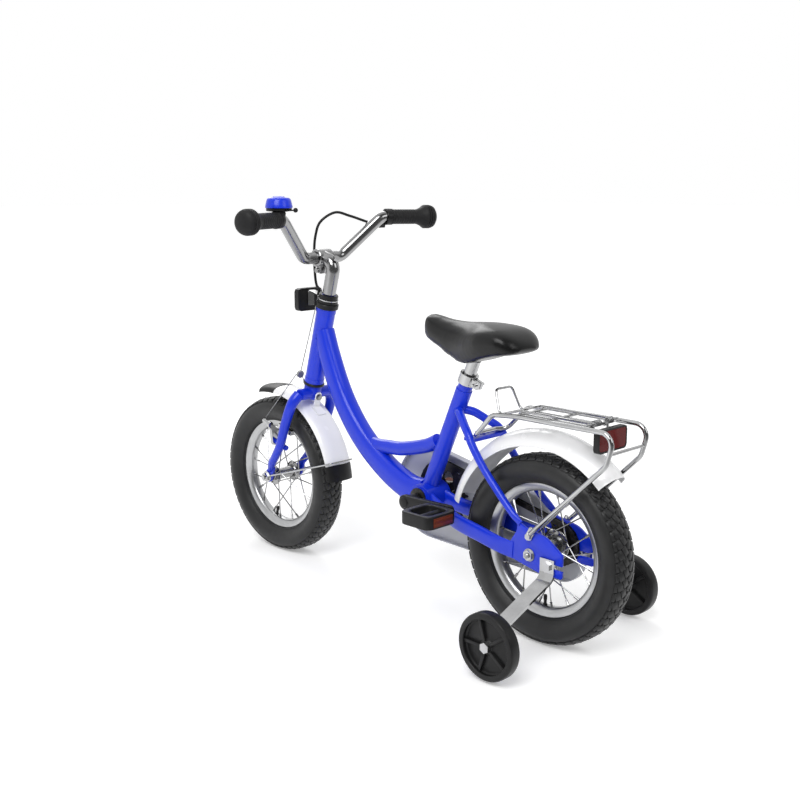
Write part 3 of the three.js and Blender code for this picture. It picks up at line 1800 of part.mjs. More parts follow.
function bellDome() {
  const wall = fenderWall;
  const low = strikerThick + seatGap * 4;
  const outer = domeShares.map(([out, up]) => [out * bellRadius, low + up * bellHeight]);
  const inner = domeShares.map(([out, up]) => [out * (bellRadius - wall), low + up * (bellHeight - wall)]);
  const cap = turnedUpright([...outer, ...inner.reverse()], fineSides);
  const button = turnedUpright(
    [
      [0, low + bellHeight - wall * 1.5],
      [bellRadius * 0.25, low + bellHeight - wall * 1.5],
      [bellRadius * 0.25, low + bellHeight + wall],
      [0, low + bellHeight + wall * 1.5],
    ],
    rodSides,
  );
  const bore = pin(
    vec(0, 0, 0),
    vec(0, 0, bellHeight * 0.9 + seatGap),
    clearOf(cableRadius, seatGap, rodSides),
  );
  return without(joined(cap, button), bore).translate(bellBase.x, bellBase.y, bellBase.z);
}

function bellStriker() {
  const reach = bellRadius * 0.55;
  const hubHalfHeight = strikerRise - seatGap;
  const arm = pin(vec(0, 0, 0), vec(-reach, -reach * 0.9, 0), cableRadius * 0.5, wireSides);
  const hub = pin(vec(0, 0, -hubHalfHeight), vec(0, 0, hubHalfHeight), cableRadius * 1.5);
  const ball = new THREE.SphereGeometry(cableRadius * 1.7, 6, 5).translate(-reach, -reach * 0.9, 0);
  const bore = pin(
    vec(0, 0, -overrun),
    vec(0, 0, overrun),
    clearOf(cableRadius / 1.6, runningGap / 2, wireSides),
    wireSides,
  );
  return without(joined(arm, hub, ball), bore).translate(
    strikerPivot.x,
    strikerPivot.y,
    strikerPivot.z + strikerRise,
  );
}

// Brake lever on the right of the bar: clamp with two cheeks, and the lever between them
const leverClamp = mirroredPlace(barPlace(leverPlace));
const leverPivot = leverClamp.clone().add(vec(leverForward, 0, -leverDrop));
const leverBodyEnd = leverClamp.y + leverWidth * 0.9;

function mirroredPlace(place) {
  return vec(place.x, -place.y, place.z);
}

function brakeLeverBracket() {
  const way = mirroredPlace(gripWay);
  const half = leverWidth * 0.35;
  const profile = [
    [clearOf(barRadius), -half],
    [barRadius * 1.4, -half],
    [barRadius * 1.4, half],
    [clearOf(barRadius), half],
  ];
  const ring = laidAlong(turned(profile, fineSides), leverClamp, way);
  const cheekHalf = leverThick / 2 + seatGap + fenderWall * 1.5;
  const body = block(
    vec(leverClamp.x + barRadius * 0.5, leverClamp.y - half, leverPivot.z - cheekHalf),
    vec(leverPivot.x + leverWidth / 2, leverBodyEnd, leverPivot.z + cheekHalf),
  );
  const gapTool = block(
    vec(leverPivot.x - leverWidth * 0.62, leverClamp.y - half * 3, leverPivot.z - leverThick / 2 - seatGap),
    vec(
      leverPivot.x + leverWidth * 2,
      leverClamp.y + leverWidth * 0.55,
      leverPivot.z + leverThick / 2 + seatGap,
    ),
  );
  const pinHeight = vec(0, 0, cheekHalf);
  const pivotPin = pin(
    leverPivot.clone().sub(pinHeight),
    leverPivot.clone().add(pinHeight),
    cableRadius,
    tubeSides,
  );
  const socket = pin(
    vec(leverPivot.x, leverBodyEnd - cableRadius, leverPivot.z),
    vec(leverPivot.x, leverBodyEnd + cableRadius * 3, leverPivot.z),
    cableRadius * 1.8,
  );
  const socketBore = pin(
    vec(leverPivot.x, leverBodyEnd + seatGap, leverPivot.z),
    vec(leverPivot.x, leverBodyEnd + cableRadius * 4, leverPivot.z),
    clearOf(cableRadius, seatGap * 2, rodSides),
  );
  const barTool = tube(barRoute(), clearOf(barRadius), tubeSides, upright);
  const shell = without(joined(ring, body, socket), gapTool, barTool, socketBore);
  return joined(shell, pivotPin);
}

function brakeLever() {
  const half = leverThick / 2;
  const end = leverWidth * 0.45;
  const outlineCorners = [
    [end, end * 0.9, end / 2],
    [end, -leverLength * 0.3, leverWidth],
    [end * 1.7, -leverLength * 0.62, leverWidth],
    [end * 1.5, -leverLength, end / 2],
    [end * 0.2, -leverLength * 1.02, end / 2],
    [end * 0.1, -leverLength * 0.62, leverWidth],
    [-end, -leverLength * 0.25, leverWidth],
    [-end, end * 0.9, end / 2],
  ];
  const blade = slab(roundedOutline(outlineCorners, 2), leverThick).translate(0, 0, -half);
  const bore = pin(
    vec(0, 0, -leverThick),
    vec(0, 0, leverThick),
    clearOf(cableRadius, runningGap),
    tubeSides,
  );
  return without(blade, bore).translate(leverPivot.x, leverPivot.y, leverPivot.z);
}

// Brake cable housing from the lever over the stem and down to the hanger
const cableEntry = vec(leverPivot.x, leverBodyEnd + seatGap * 2, leverPivot.z);
const cableShares = [
  [1.09, -0.238, 1.327],
  [1.42, -0.115, 1.344],
  [1.71, -0.011, 1.255],
  [1.72, 0.013, 1.15],
  [1.67, 0.004, 1.01],
  [1.1, 0, 0.77],
];

function cableHousing() {
  const foot = hangerHeight + hangerThick + seatGap * 2;
  const middle = cableShares.map(([ahead, side, up]) => vec(
    ahead * barForward,
    side * gripEnd,
    up * barRise,
  ));
  const first = cableEntry.clone().add(vec(0, cableRadius * 4, 0));
  const end = [vec(hangerForward, 0, foot + cableRadius * 3), vec(hangerForward, 0, foot)];
  const places = [cableEntry, first, ...middle, ...end];
  return tube(smooth(places, 24), cableRadius, wireSides, acrossX);
}

// Bare brake wire through the hanger to the yoke, and the straddle wire below
function brakeWire() {
  const wire = pin(
    vec(hangerForward, 0, hangerHeight - seatGap),
    vec(yokeForward, 0, -yokeDrop + yokeRadius / 2),
    wireRadius,
    wireSides,
  );
  const yoke = pin(
    vec(yokeForward - cableRadius, 0, -yokeDrop),
    vec(yokeForward + cableRadius, 0, -yokeDrop),
    yokeRadius,
    tubeSides,
  );
  return joined(wire, yoke);
}

function straddleWire() {
  const top = vec(yokeForward + cableRadius + wireRadius + seatGap, 0, -yokeDrop);
  const side = anchorPlace().add(vec(cableRadius, -cableRadius * 2, cableRadius * 2));
  const places = [mirroredPlace(side), top.clone().add(vec(0, -yokeRadius, -yokeRadius / 4)), top];
  const rest = [top.clone().add(vec(0, yokeRadius, -yokeRadius / 4)), side];
  return tube([...places, ...rest], wireRadius, wireSides, acrossX);
}

function anchorPlace() {
  return vec(anchorForward, anchorSpread, -anchorDrop);
}

// Cantilever brake arm with its pad, turning on the boss of the fork leg
const padHeightPlace = -padDrop;
const padForward = axleRake - padLength / 6;

function brakeArm() {
  const front = brakeBossForward - seatGap * 4;
  const shape = new THREE.Shape();
  shape.absarc(brakeBossSpread, -brakeBossDrop, brakeArmThick, -Math.PI, 0, false);
  shape.lineTo(anchorSpread - brakeArmThick / 2, -anchorDrop - brakeArmThick * 1.5);
  shape.absarc(anchorSpread, -anchorDrop, brakeArmThick * 0.7, -Math.PI / 3, Math.PI, false);
  shape.lineTo(brakeBossSpread - brakeArmThick, padHeightPlace);
  const plate = slab(new THREE.Shape(shape.getPoints(4)), brakeArmThick);
  plate.rotateX(Math.PI / 2).rotateZ(Math.PI / 2).translate(front - brakeArmThick, 0, 0);
  const padOuter = rimHalf + padGap + padThick;
  const post = pin(
    vec(padForward, padOuter - padThick / 2, padHeightPlace),
    vec(padForward, brakeBossSpread + brakeArmThick * 0.6, padHeightPlace),
    trainerBolt / 2,
    rodSides,
  );
  const pad = block(
    vec(padForward - padLength / 2, rimHalf + padGap, padHeightPlace - padHeight / 2),
    vec(padForward + padLength / 2, padOuter, padHeightPlace + padHeight / 2),
  );
  const anchor = pin(
    vec(front - brakeArmThick / 2, anchorSpread, -anchorDrop),
    vec(anchorForward + cableRadius, anchorSpread, -anchorDrop),
    trainerBolt * 0.8,
    wireSides,
  );
  const bore = pin(
    vec(0, brakeBossSpread, -brakeBossDrop),
    vec(brakeBossForward * 2, brakeBossSpread, -brakeBossDrop),
    clearOf(forkTipThick, runningGap, rodSides),
  );
  return without(joined(plate, post, pad, anchor), bore);
}

// Front fender with its bracket, its end caps and its wire stay
const capGap = THREE.MathUtils.radToDeg(seatGap / frontFenderEdge);

function frontFenderArch() {
  const centre = vec(axleRake, 0, -axleDrop);
  const from = frontFenderFrom + frontCapTurn + capGap;
  const to = frontFenderTo - rearCapTurn - capGap;
  return fenderArch(frontFenderEdge, frontFenderCrown, from, to, 9).translate(centre.x, 0, centre.z);
}

function frontFenderWithBracket() {
  const arch = frontFenderArch();
  const boltHeight = -lowerRingHeight - crownLength * 0.7;
  const halfWide = fenderHalf / 4;
  const thick = fenderWall * 1.5;
  const back = -crownRadius - seatGap;
  const centre = vec(axleRake, 0, -axleDrop);
  const footAngle = 180 - THREE.MathUtils.radToDeg(Math.atan2(
    axleDrop - crownLength * 1.6,
    axleRake - back,
  ));
  const foot = fenderFoot(footAngle, frontFenderCrown - fenderWall / 2, centre);
  const leg = block(vec(back - thick, -halfWide, foot.z), vec(back, halfWide, boltHeight + halfWide));
  const bolt = pin(
    vec(back - thick * 2.5, 0, boltHeight),
    vec(back - thick / 2, 0, boltHeight),
    trainerBolt,
    wireSides,
  );
  return joined(arch, leg, bolt);
}

function fenderCap(from, to) {
  const lip = fenderWall * 0.6;
  const edge = frontFenderEdge - lip;
  const crown = frontFenderCrown + lip;
  const cap = fenderArch(edge, crown, from, to, 3, fenderHalf + lip, fenderWall + lip * 2);
  return cap.translate(axleRake, 0, -axleDrop);
}

function fenderStay() {
  const angle = frontFenderTo - rearCapTurn - stayAhead;
  const centre = vec(axleRake, 0, -axleDrop);
  const top = frontFenderCrown + fenderStayRadius + seatGap;
  const direction = vec(Math.cos(rad(angle)), 0, Math.sin(rad(angle)));
  const eyeY = tipPlace + forkTipThick / 2 + seatGap + fenderStayRadius;
  const corner = centre.clone().addScaledVector(direction, frontFenderEdge);
  const crest = centre.clone().addScaledVector(direction, top);
  const eyeRing = nutAcross * 0.62;
  const start = centre.clone().addScaledVector(direction, eyeRing);
  const half = fenderHalf + fenderStayRadius + seatGap * 3;
  const side = [
    vec(crest.x, half * 0.8, crest.z),
    vec(corner.x, half, corner.z),
    vec(start.x, eyeY, start.z),
  ];
  const other = side.map(mirroredPlace).reverse();
  const wire = tube(
    bent([...other, ...side], fenderStayRadius * 3),
    fenderStayRadius,
    wireSides,
    direction,
  );
  const eye = crossPin(
    axleRake,
    -axleDrop,
    eyeY - fenderStayRadius,
    eyeY + fenderStayRadius,
    eyeRing + fenderStayRadius,
    rodSides,
  );
  const hole = crossPin(
    axleRake,
    -axleDrop,
    -forkSpread * 2,
    forkSpread * 2,
    clearOf(axleRadius, seatGap, rodSides),
    rodSides,
  );
  return without(joined(wire, eye, mirrored(eye)), hole);
}

// Seat post, clamp and saddle
function seatClamp() {
  const low = seatTopCentre.clone().addScaledVector(seatUp, -clampRingHeight * 0.1);
  const high = seatTopCentre.clone().addScaledVector(seatUp, clampRingHeight * 0.9);
  const outer = clearOf(seatCollarRadius) + clampRingWall;
  const ring = pin(low, high, outer, tubeSides);
  const back = vec(-seatUp.z, 0, seatUp.x);
  const middle = low.clone().add(high).multiplyScalar(0.5);
  const earEnd = middle.clone().addScaledVector(back, outer + clampEarReach);
  const earWidth = clampRingHeight * 0.4;
  const ear = swept(boxOutline(earWidth * 2, clampRingHeight * 0.7), [middle, earEnd], acrossY);
  const boltMiddle = middle.clone().addScaledVector(back, outer + clampEarReach / 2);
  const bolt = crossPin(
    boltMiddle.x,
    boltMiddle.z,
    -earWidth * 2,
    earWidth * 2,
    trainerBolt * 0.6,
    rodSides,
  );
  const slot = swept(
    boxOutline(fenderWall, clampRingHeight * 2),
    [middle, earEnd.clone().addScaledVector(back, overrun)],
    acrossY,
  );
  const collarTool = pin(
    low.clone().addScaledVector(seatUp, -overrun),
    seatTopCentre.clone().addScaledVector(seatUp, seatGap),
    clearOf(seatCollarRadius),
    fineSides,
  );
  const postTool = pin(
    seatTopCentre,
    high.clone().addScaledVector(seatUp, overrun),
    clearOf(postRadius),
    fineSides,
  );
  return joined(without(joined(ring, ear), slot, collarTool, postTool), bolt);
}

function seatPost() {
  const low = seatTopCentre.clone().addScaledVector(seatUp, -postInside);
  const high = seatTopCentre.clone().addScaledVector(seatUp, postTop);
  return pin(low, high, postRadius, fineSides);
}

const saddleShares = [
  [0, 0.5, 0.56, 0.48],
  [0.04, 0.78, 0.74, 0.42],
  [0.14, 0.98, 0.95, 0.37],
  [0.3, 1, 1, 0.24],
  [0.42, 0.8, 0.97, 0.1],
  [0.54, 0.56, 0.93, 0],
  [0.66, 0.42, 0.91, 0.08],
  [0.8, 0.35, 0.95, 0.28],
  [0.94, 0.3, 1, 0.46],
  [1, 0.2, 0.9, 0.56],
];

// One cross-section of the saddle: drawn-in sides and a crown, inset for the hollow below
function saddleRing([along, wide, top, skirt], inset, extraDrop) {
  const x = THREE.MathUtils.lerp(saddleRear + inset, saddleNose - inset, along);
  const depth = saddleTop - saddleSkirt;
  const half = Math.max(wide * saddleRearHalf - inset, inset / 2);
  const high = saddleSkirt + top * depth - inset;
  const low = saddleSkirt + skirt * depth - extraDrop;
  const sectionShares = [
    [0.86, 0],
    [0.96, 0.3],
    [1, 0.58],
    [0.93, 0.83],
    [0.68, 0.97],
    [0, 0.99],
  ];
  const right = sectionShares.map(([out, up]) => vec(
    x,
    out * half,
    low + up * Math.max(high - low, inset),
  ));
  const left = right.slice(0, -1).reverse().map(mirroredPlace);
  return [...right, ...left];
}

function saddleBody() {
  const curveSteps = 12;
  const rows = smoothRows(saddleShares, curveSteps);
  const cover = lofted(rows.map((row) => saddleRing(row, 0, 0)));
  const hollow = lofted(rows.map((row) => saddleRing(row, saddleWall, overrun * 3)));
  const shell = without(cover, hollow);
  const railY = railRadius * 5;
  const railHeight = saddleSkirt + (saddleTop - saddleSkirt) * 0.22;
  const rails = [railY, -railY].map((y) =>
    pin(
      vec(saddleRear + saddleWall, y, railHeight + saddleWall * 3),
      vec(saddleNose - saddleWall * 6, y / 4, railHeight + saddleWall * 3),
      railRadius,
      wireSides,
    ),
  );
  const top = seatTopCentre.clone().addScaledVector(seatUp, postTop);
  const clampBlock = block(
    vec(top.x - railY, -railY * 1.2, top.z - railRadius / 2),
    vec(top.x + railY, railY * 1.2, top.z + postRadius * 3),
  );
  const postTool = pin(
    top.clone().addScaledVector(seatUp, -postTop),
    top.clone().addScaledVector(seatUp, seatGap),
    clearOf(postRadius),
    fineSides,
  );
  return without(joined(shell, clampBlock, ...rails), postTool);
}

function smoothRows(rows, steps) {
  const out = [];
  for (let i = 0; i <= steps; i += 1) {
    const place = (i / steps) * (rows.length - 1);
    const index = Math.min(Math.floor(place), rows.length - 2);
    const share = place - index;
    const [a, b, c, d] = [
      rows[Math.max(index - 1, 0)],
      rows[index],
      rows[index + 1],
      rows[Math.min(index + 2, rows.length - 1)],
    ];
    out.push(
      b.map((value, k) => {
        const near = (c[k] - a[k]) / 2;
        const far = (d[k] - b[k]) / 2;
        const square = share * share;
        const cube = square * share;
        const start = (2 * cube - 3 * square + 1) * value + (cube - 2 * square + share) * near;
        return start + (3 * square - 2 * cube) * c[k] + (cube - square) * far;
      }),
    );
  }
  return out;
}

// Rear fender with the spacer and bolt that hold it under the stay bridge
function rearFender() {
  const arch = fenderArch(rearFenderEdge, rearFenderCrown, rearFenderFrom, rearFenderTo, 14);
  arch.translate(0, 0, tyreRadius);
  const crown = tyreRadius + Math.sqrt(rearFenderCrown ** 2 - bridgeForward ** 2);
  const bridgeLow = bridgeHeight - bridgeRadius / 2 - seatGap;
  const bridgeHigh = bridgeHeight + bridgeRadius / 2 + seatGap;
  const at = (height) => vec(bridgeForward, 0, height);
  const spacer = pin(at(crown - fenderWall * 2), at(bridgeLow), trainerBolt);
  const bolt = pin(at(bridgeLow - trainerBolt), at(bridgeHigh + nutHeight / 6), trainerBolt / 2);
  const head = hexagon(at(bridgeHigh), at(bridgeHigh + nutHeight / 4), trainerBolt * 2);
  return joined(arch, spacer, bolt, head);
}

// Rear reflector behind the carrier
function placedRearReflector(geometry) {
  const middle = rearReflectorTop - rearReflectorHeight / 2;
  return facingBackward(geometry).translate(-rearReflectorBack + rearReflectorDepth, 0, middle);
}

// The bike as named pieces
const bike = new THREE.Group();
const steering = new THREE.Group();
steering.position.copy(headLow);
steering.rotation.y = -rad(headAngle);
bike.add(steering);

function place(group, name, geometry, material) {
  const mesh = new THREE.Mesh(geometry, material.clone());
  mesh.name = name;
  group.add(mesh);
  return mesh;
}

const stayEye = fenderStayRadius * 2 + seatGap;
const wheels = [
  {
    name: "front",
    group: steering,
    centre: vec(axleRake, 0, -axleDrop),
    hub: [frontHubRadius, frontFlangeRadius, 0],
    tips: [tipPlace - forkTipThick / 2, tipPlace + forkTipThick / 2 + stayEye],
  },
  {
    name: "rear",
    group: bike,
    centre: axleCentre,
    hub: [rearHubRadius, rearFlangeRadius, seatGap],
    tips: [plateInner, plateInner + plateThick],
  },
];
for (const { name, group, centre, hub, tips } of wheels) {
  place(group, `${name}_tyre`, tyre(), rubber).position.copy(centre);
  place(group, `${name}_rim`, rim(), steel).position.copy(centre);
  place(group, `${name}_spokes`, spokedHub(...hub), chrome).position.copy(centre);
  place(group, `${name}_axle`, wheelAxle(...tips), steel).position.copy(centre);
}

place(bike, "main_frame", mainFrame(), bluePaint);
place(bike, "left_rear_stays", rearStays(), bluePaint);
place(bike, "right_rear_stays", mirrored(rearStays()), bluePaint);
place(bike, "stay_bridge", stayBridge(), bluePaint);
place(bike, "seat_clamp", seatClamp(), chrome);
place(bike, "seat_post", seatPost(), steel);
place(bike, "saddle", saddleBody(), vinyl);
place(bike, "rear_fender", rearFender(), whiteSheet);
place(bike, "rear_rack", rearRack(), chrome);
place(bike, "rack_clip", rackClip(), chrome);
place(bike, "rack_spring_left", clipSpring(1), steel);
place(bike, "rack_spring_right", clipSpring(-1), steel);
const rearTray = [rearReflectorHalf * 2, rearReflectorHeight, rearReflectorDepth];
place(bike, "rear_reflector_housing", placedRearReflector(trayBody(...rearTray)), blackPlastic);
place(bike, "rear_reflector_lens", placedRearReflector(trayLens(...rearTray)), redLens);
place(bike, "rear_sprocket", sprocket(), steel).position.copy(axleCentre);
place(bike, "chain", chain(), darkSteel);
place(bike, "chainring", chainring(), darkSteel).position.copy(crankCentre);
place(bike, "crankset", crankset(), blackPlastic);
place(bike, "bottom_bracket", bottomBracket(), darkSteel);
place(bike, "left_pedal", pedal(), blackPlastic);
const otherPedal = mirrored(pedal()).translate(-crankForward, 0, -crankHeight).rotateY(Math.PI);
place(bike, "right_pedal", otherPedal, blackPlastic).position.copy(crankCentre);
place(bike, "chain_guard", chainGuard(), greyPlastic);
const supportFaces = { left: plateInner + plateThick + seatGap, right: guardInner + guardWall + seatGap };
for (const [name, inner] of Object.entries(supportFaces)) {
  const sided = (geometry) => (name === "left" ? geometry : mirrored(geometry));
  place(bike, `${name}_stabiliser_bracket`, sided(trainerSupport(inner)), chrome);
  place(bike, `${name}_training_wheel`, sided(trainingWheel()), blackPlastic);
}

place(
  steering,
  "headset_lower_cup",
  headsetCup(-lowerRingHeight + seatGap, -seatGap, lowerRingRadius, seatGap * 2),
  blackPlastic,
);
const cupLow = headLength + seatGap;
place(
  steering,
  "headset_upper_cup",
  headsetCup(cupLow, cupLow + upperCupHeight, upperCupRadius, fenderWall),
  blackPlastic,
);
const nutLow = hangerHeight + hangerThick + seatGap;
place(
  steering,
  "headset_locknut",
  headsetCup(nutLow, nutLow + locknutHeight, locknutRadius, seatGap * 2),
  blackPlastic,
);
place(steering, "cable_hanger", cableHanger(), chrome);
place(steering, "fork", fork(), bluePaint);
place(steering, "stem", stem(), chrome);
place(steering, "handlebar", handlebar(), chrome);
place(steering, "left_grip", grip(), rubber);
place(steering, "right_grip", mirrored(grip()), rubber);
place(steering, "bell_base", bellMount(), blackPlastic);
place(steering, "bell_dome", bellDome(), bluePaint);
place(steering, "bell_striker", bellStriker(), blackPlastic);
place(steering, "brake_lever_bracket", brakeLeverBracket(), blackPlastic);
place(steering, "brake_lever", brakeLever(), blackPlastic);
place(steering, "brake_cable_housing", cableHousing(), blackPlastic);
place(steering, "brake_wire", brakeWire(), steel);
place(steering, "straddle_wire", straddleWire(), steel);
place(steering, "left_brake_arm", brakeArm(), chrome);
place(steering, "right_brake_arm", mirrored(brakeArm()), chrome);
place(steering, "front_fender", frontFenderWithBracket(), whiteSheet);
const frontCapEnd = frontFenderFrom + frontCapTurn;
place(steering, "front_fender_front_cap", fenderCap(frontFenderFrom, frontCapEnd), blackPlastic);
place(
  steering,
  "front_fender_rear_cap",
  fenderCap(frontFenderTo - rearCapTurn, frontFenderTo),
  blackPlastic,
);
place(steering, "front_fender_stay", fenderStay(), chrome);
const frontTray = [frontReflectorWidth, frontReflectorHeight, frontReflectorDepth];
place(steering, "front_reflector_housing", placedFrontReflector(trayBody(...frontTray)), blackPlastic);
place(steering, "front_reflector_lens", placedFrontReflector(trayLens(...frontTray)), clearLens);

// The whole bike stands on Z = 0 with its box centred over the origin
bike.updateMatrixWorld(true);
const box = new THREE.Box3().setFromObject(bike, true);
bike.position.set(-(box.min.x + box.max.x) / 2, -(box.min.y + box.max.y) / 2, -box.min.z);

export default bike;
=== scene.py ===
"""Kids bike with training wheels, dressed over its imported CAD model.

Lengths are in millimetres in the bike's own layout: X forward from the rear axle,
Y to the rider's left and Z up from the ground. They become metres when a piece is placed.
"""
import json
import math

import bmesh
import bpy
from bpy.props import FloatProperty, FloatVectorProperty, IntProperty, PointerProperty
from mathutils import Matrix, Vector

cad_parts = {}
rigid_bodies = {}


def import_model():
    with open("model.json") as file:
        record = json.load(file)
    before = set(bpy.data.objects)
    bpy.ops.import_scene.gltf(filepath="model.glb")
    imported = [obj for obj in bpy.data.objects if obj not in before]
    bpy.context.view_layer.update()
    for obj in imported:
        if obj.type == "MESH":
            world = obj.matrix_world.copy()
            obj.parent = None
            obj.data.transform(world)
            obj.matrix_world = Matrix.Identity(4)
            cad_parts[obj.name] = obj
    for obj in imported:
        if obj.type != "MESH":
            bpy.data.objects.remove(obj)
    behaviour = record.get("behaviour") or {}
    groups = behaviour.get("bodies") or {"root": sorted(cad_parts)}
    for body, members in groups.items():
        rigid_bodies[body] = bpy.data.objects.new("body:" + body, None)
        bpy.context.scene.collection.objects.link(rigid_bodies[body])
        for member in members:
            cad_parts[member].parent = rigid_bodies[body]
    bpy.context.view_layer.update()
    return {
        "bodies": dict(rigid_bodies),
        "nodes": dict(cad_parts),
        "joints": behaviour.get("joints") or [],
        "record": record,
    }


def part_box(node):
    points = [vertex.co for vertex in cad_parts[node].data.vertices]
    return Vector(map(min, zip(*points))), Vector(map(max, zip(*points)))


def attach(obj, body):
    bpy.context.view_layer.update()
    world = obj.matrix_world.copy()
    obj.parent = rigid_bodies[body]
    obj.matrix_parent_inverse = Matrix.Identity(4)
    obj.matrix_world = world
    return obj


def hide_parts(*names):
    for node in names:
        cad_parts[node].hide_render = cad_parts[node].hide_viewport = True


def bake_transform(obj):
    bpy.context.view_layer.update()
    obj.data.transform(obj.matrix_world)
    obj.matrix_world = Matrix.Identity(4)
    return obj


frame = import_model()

bl_info = {
    "name": "Kids bike with training wheels",
    "version": (1, 0, 0),
    "blender": (4, 5, 0),
    "location": "View3D > Sidebar > Kids bike",
    "description": "Dresses the packed bike in smooth tubes, wheels, trim and finishes",
    "category": "Object",
}

MM = 0.001
REAR_AXLE = sum(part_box("rear_axle"), Vector()) / 2
HEAD_LOW = Vector((566, 0, 354))
HEAD_TILT = math.radians(15.2)
BIKE = Matrix.Translation((REAR_AXLE.x, 0, 0)) @ Matrix.Scale(MM, 4)
STEERING = BIKE @ Matrix.Translation(HEAD_LOW) @ Matrix.Rotation(-HEAD_TILT, 4, "Y")
OTHER_SIDE = Matrix.Scale(-1, 4, (0, 1, 0))
ACROSS = Vector((0, 1, 0))
UPRIGHT = Vector((0, 0, 1))
FORWARD = Vector((1, 0, 0))
SIDES = ((1, "left"), (-1, "right"))


# Sizes and colours
def length(name, description, default):
    """One length setting, given in millimetres."""
    return FloatProperty(name=name, description=description, default=default * MM, unit="LENGTH")


def number(name, description, default):
    """One setting that counts things."""
    return IntProperty(name=name, description=description, default=default)


class BikeSizes(bpy.types.PropertyGroup):
    """Sizes that a user would change."""

    tyre_radius: length("Tyre radius", "Outside radius of both tyres", 155)
    tyre_width: length("Tyre width", "Width of the tyre at its fullest", 57)
    tread_blocks: number("Tread blocks", "Blocks round one row of the tread", 58)
    tread_depth: length("Tread depth", "Height of the tread blocks", 1.4)
    spokes: number("Spokes", "Spokes in each wheel", 20)
    spoke_radius: length("Spoke radius", "Radius of a spoke's wire", 1.2)
    weld_bead: length("Weld bead", "Radius of the weld beads on the frame", 1.3)
    saddle_swell: length("Saddle swell", "Most that a point of the padding may move", 3)


def colour(name, description, default):
    """One colour setting."""
    return FloatVectorProperty(name=name, description=description, subtype="COLOR", default=default)


class BikeColours(bpy.types.PropertyGroup):
    """Colours that a user would change."""

    paint: colour("Paint", "Gloss paint of the frame, fork and bell", (0.003, 0.03, 0.62))
    fender: colour("Fenders", "White of the fenders", (0.88, 0.88, 0.89))
    guard: colour("Chain guard", "Pale plastic of the chain guard", (0.56, 0.57, 0.61))
    chrome: colour("Chrome", "Tint of the plated pieces", (0.5, 0.503, 0.508))
    satin: colour("Satin chrome", "Tint of the handlebar and stem", (0.33, 0.33, 0.333))
    alloy: colour("Alloy", "Tint of the rims", (0.47, 0.474, 0.48))
    tyre: colour("Tyres", "Rubber of the tyres", (0.014, 0.0142, 0.0148))
    rubber: colour("Grips", "Rubber of the grips", (0.011, 0.011, 0.0115))
    plastic: colour("Plastic", "Black moulded plastic", (0.01, 0.01, 0.0105))
    vinyl: colour("Saddle", "Cover of the saddle", (0.005, 0.005, 0.0052))
    red: colour("Red lens", "Rear reflector", (0.15, 0.006, 0.006))
    amber: colour("Amber lens", "Pedal reflectors", (0.22, 0.045, 0.02))


def sizes():
    """The scene's size settings."""
    return bpy.context.scene.bike_sizes


def colours():
    """The scene's colour settings."""
    return bpy.context.scene.bike_colours


# Finishes
class Socket:
    """A shader socket whose sums add Math nodes."""

    def __init__(self, finish, socket):
        self.finish = finish
        self.socket = socket

    def maths(self, operation, first, second):
        return self.finish.node("ShaderNodeMath", {"operation": operation}, {0: first, 1: second})

    def __add__(self, other):
        return self.maths("ADD", self, other)

    def __sub__(self, other):
        return self.maths("SUBTRACT", self, other)

    def __rsub__(self, other):
        return self.maths("SUBTRACT", other, self)

    def __mul__(self, other):
        return self.maths("MULTIPLY", self, other)

    def __gt__(self, other):
        return self.maths("GREATER_THAN", self, other)

    __radd__ = __add__
    __rmul__ = __mul__


class Nodes:
    """The nodes of a material or a world."""

    def __init__(self, tree):
        self.tree = tree

    def node(self, kind, settings, inputs, output=0):
        """Adds a node: its settings first, then the values or links of its sockets."""
        node = self.tree.nodes.new(kind)
        for key, value in settings.items():
            if key == "stops":
                ramp = node.color_ramp.elements
                for i, (place, tone) in enumerate(value):
                    stop = ramp[i] if i < 2 else ramp.new(place)
                    stop.position = place
                    stop.color = (tone, tone, tone, 1.0)
            else:
                setattr(node, key, value)
        for key, value in inputs.items():
            if isinstance(value, Socket):
                self.tree.links.new(value.socket, node.inputs[key])
            else:
                node.inputs[key].default_value = value
        return Socket(self, node.outputs[output])

    def ramp(self, value, *stops):
        """Maps a value through grey stops (place, tone)."""
        return self.node("ShaderNodeValToRGB", {"stops": stops}, {"Fac": value}, "Color")

    def ray(self, kind):
        """1 for a ray of that kind."""
        return self.node("ShaderNodeLightPath", {}, {}, f"Is {kind} Ray")

    def seen(self):
        """1 where the camera, a gloss or a glass looks, and 0 where light is gathered."""
        return (self.ray("Camera") + self.ray("Glossy") + self.ray("Transmission")) > 0.5

    def toward_dark(self, place):
        """How far a place or a direction lies towards the dark side of the room."""
        settings = {"operation": "DOT_PRODUCT"}
        return self.node("ShaderNodeVectorMath", settings, {0: place, 1: DARK_SIDE}, "Value")


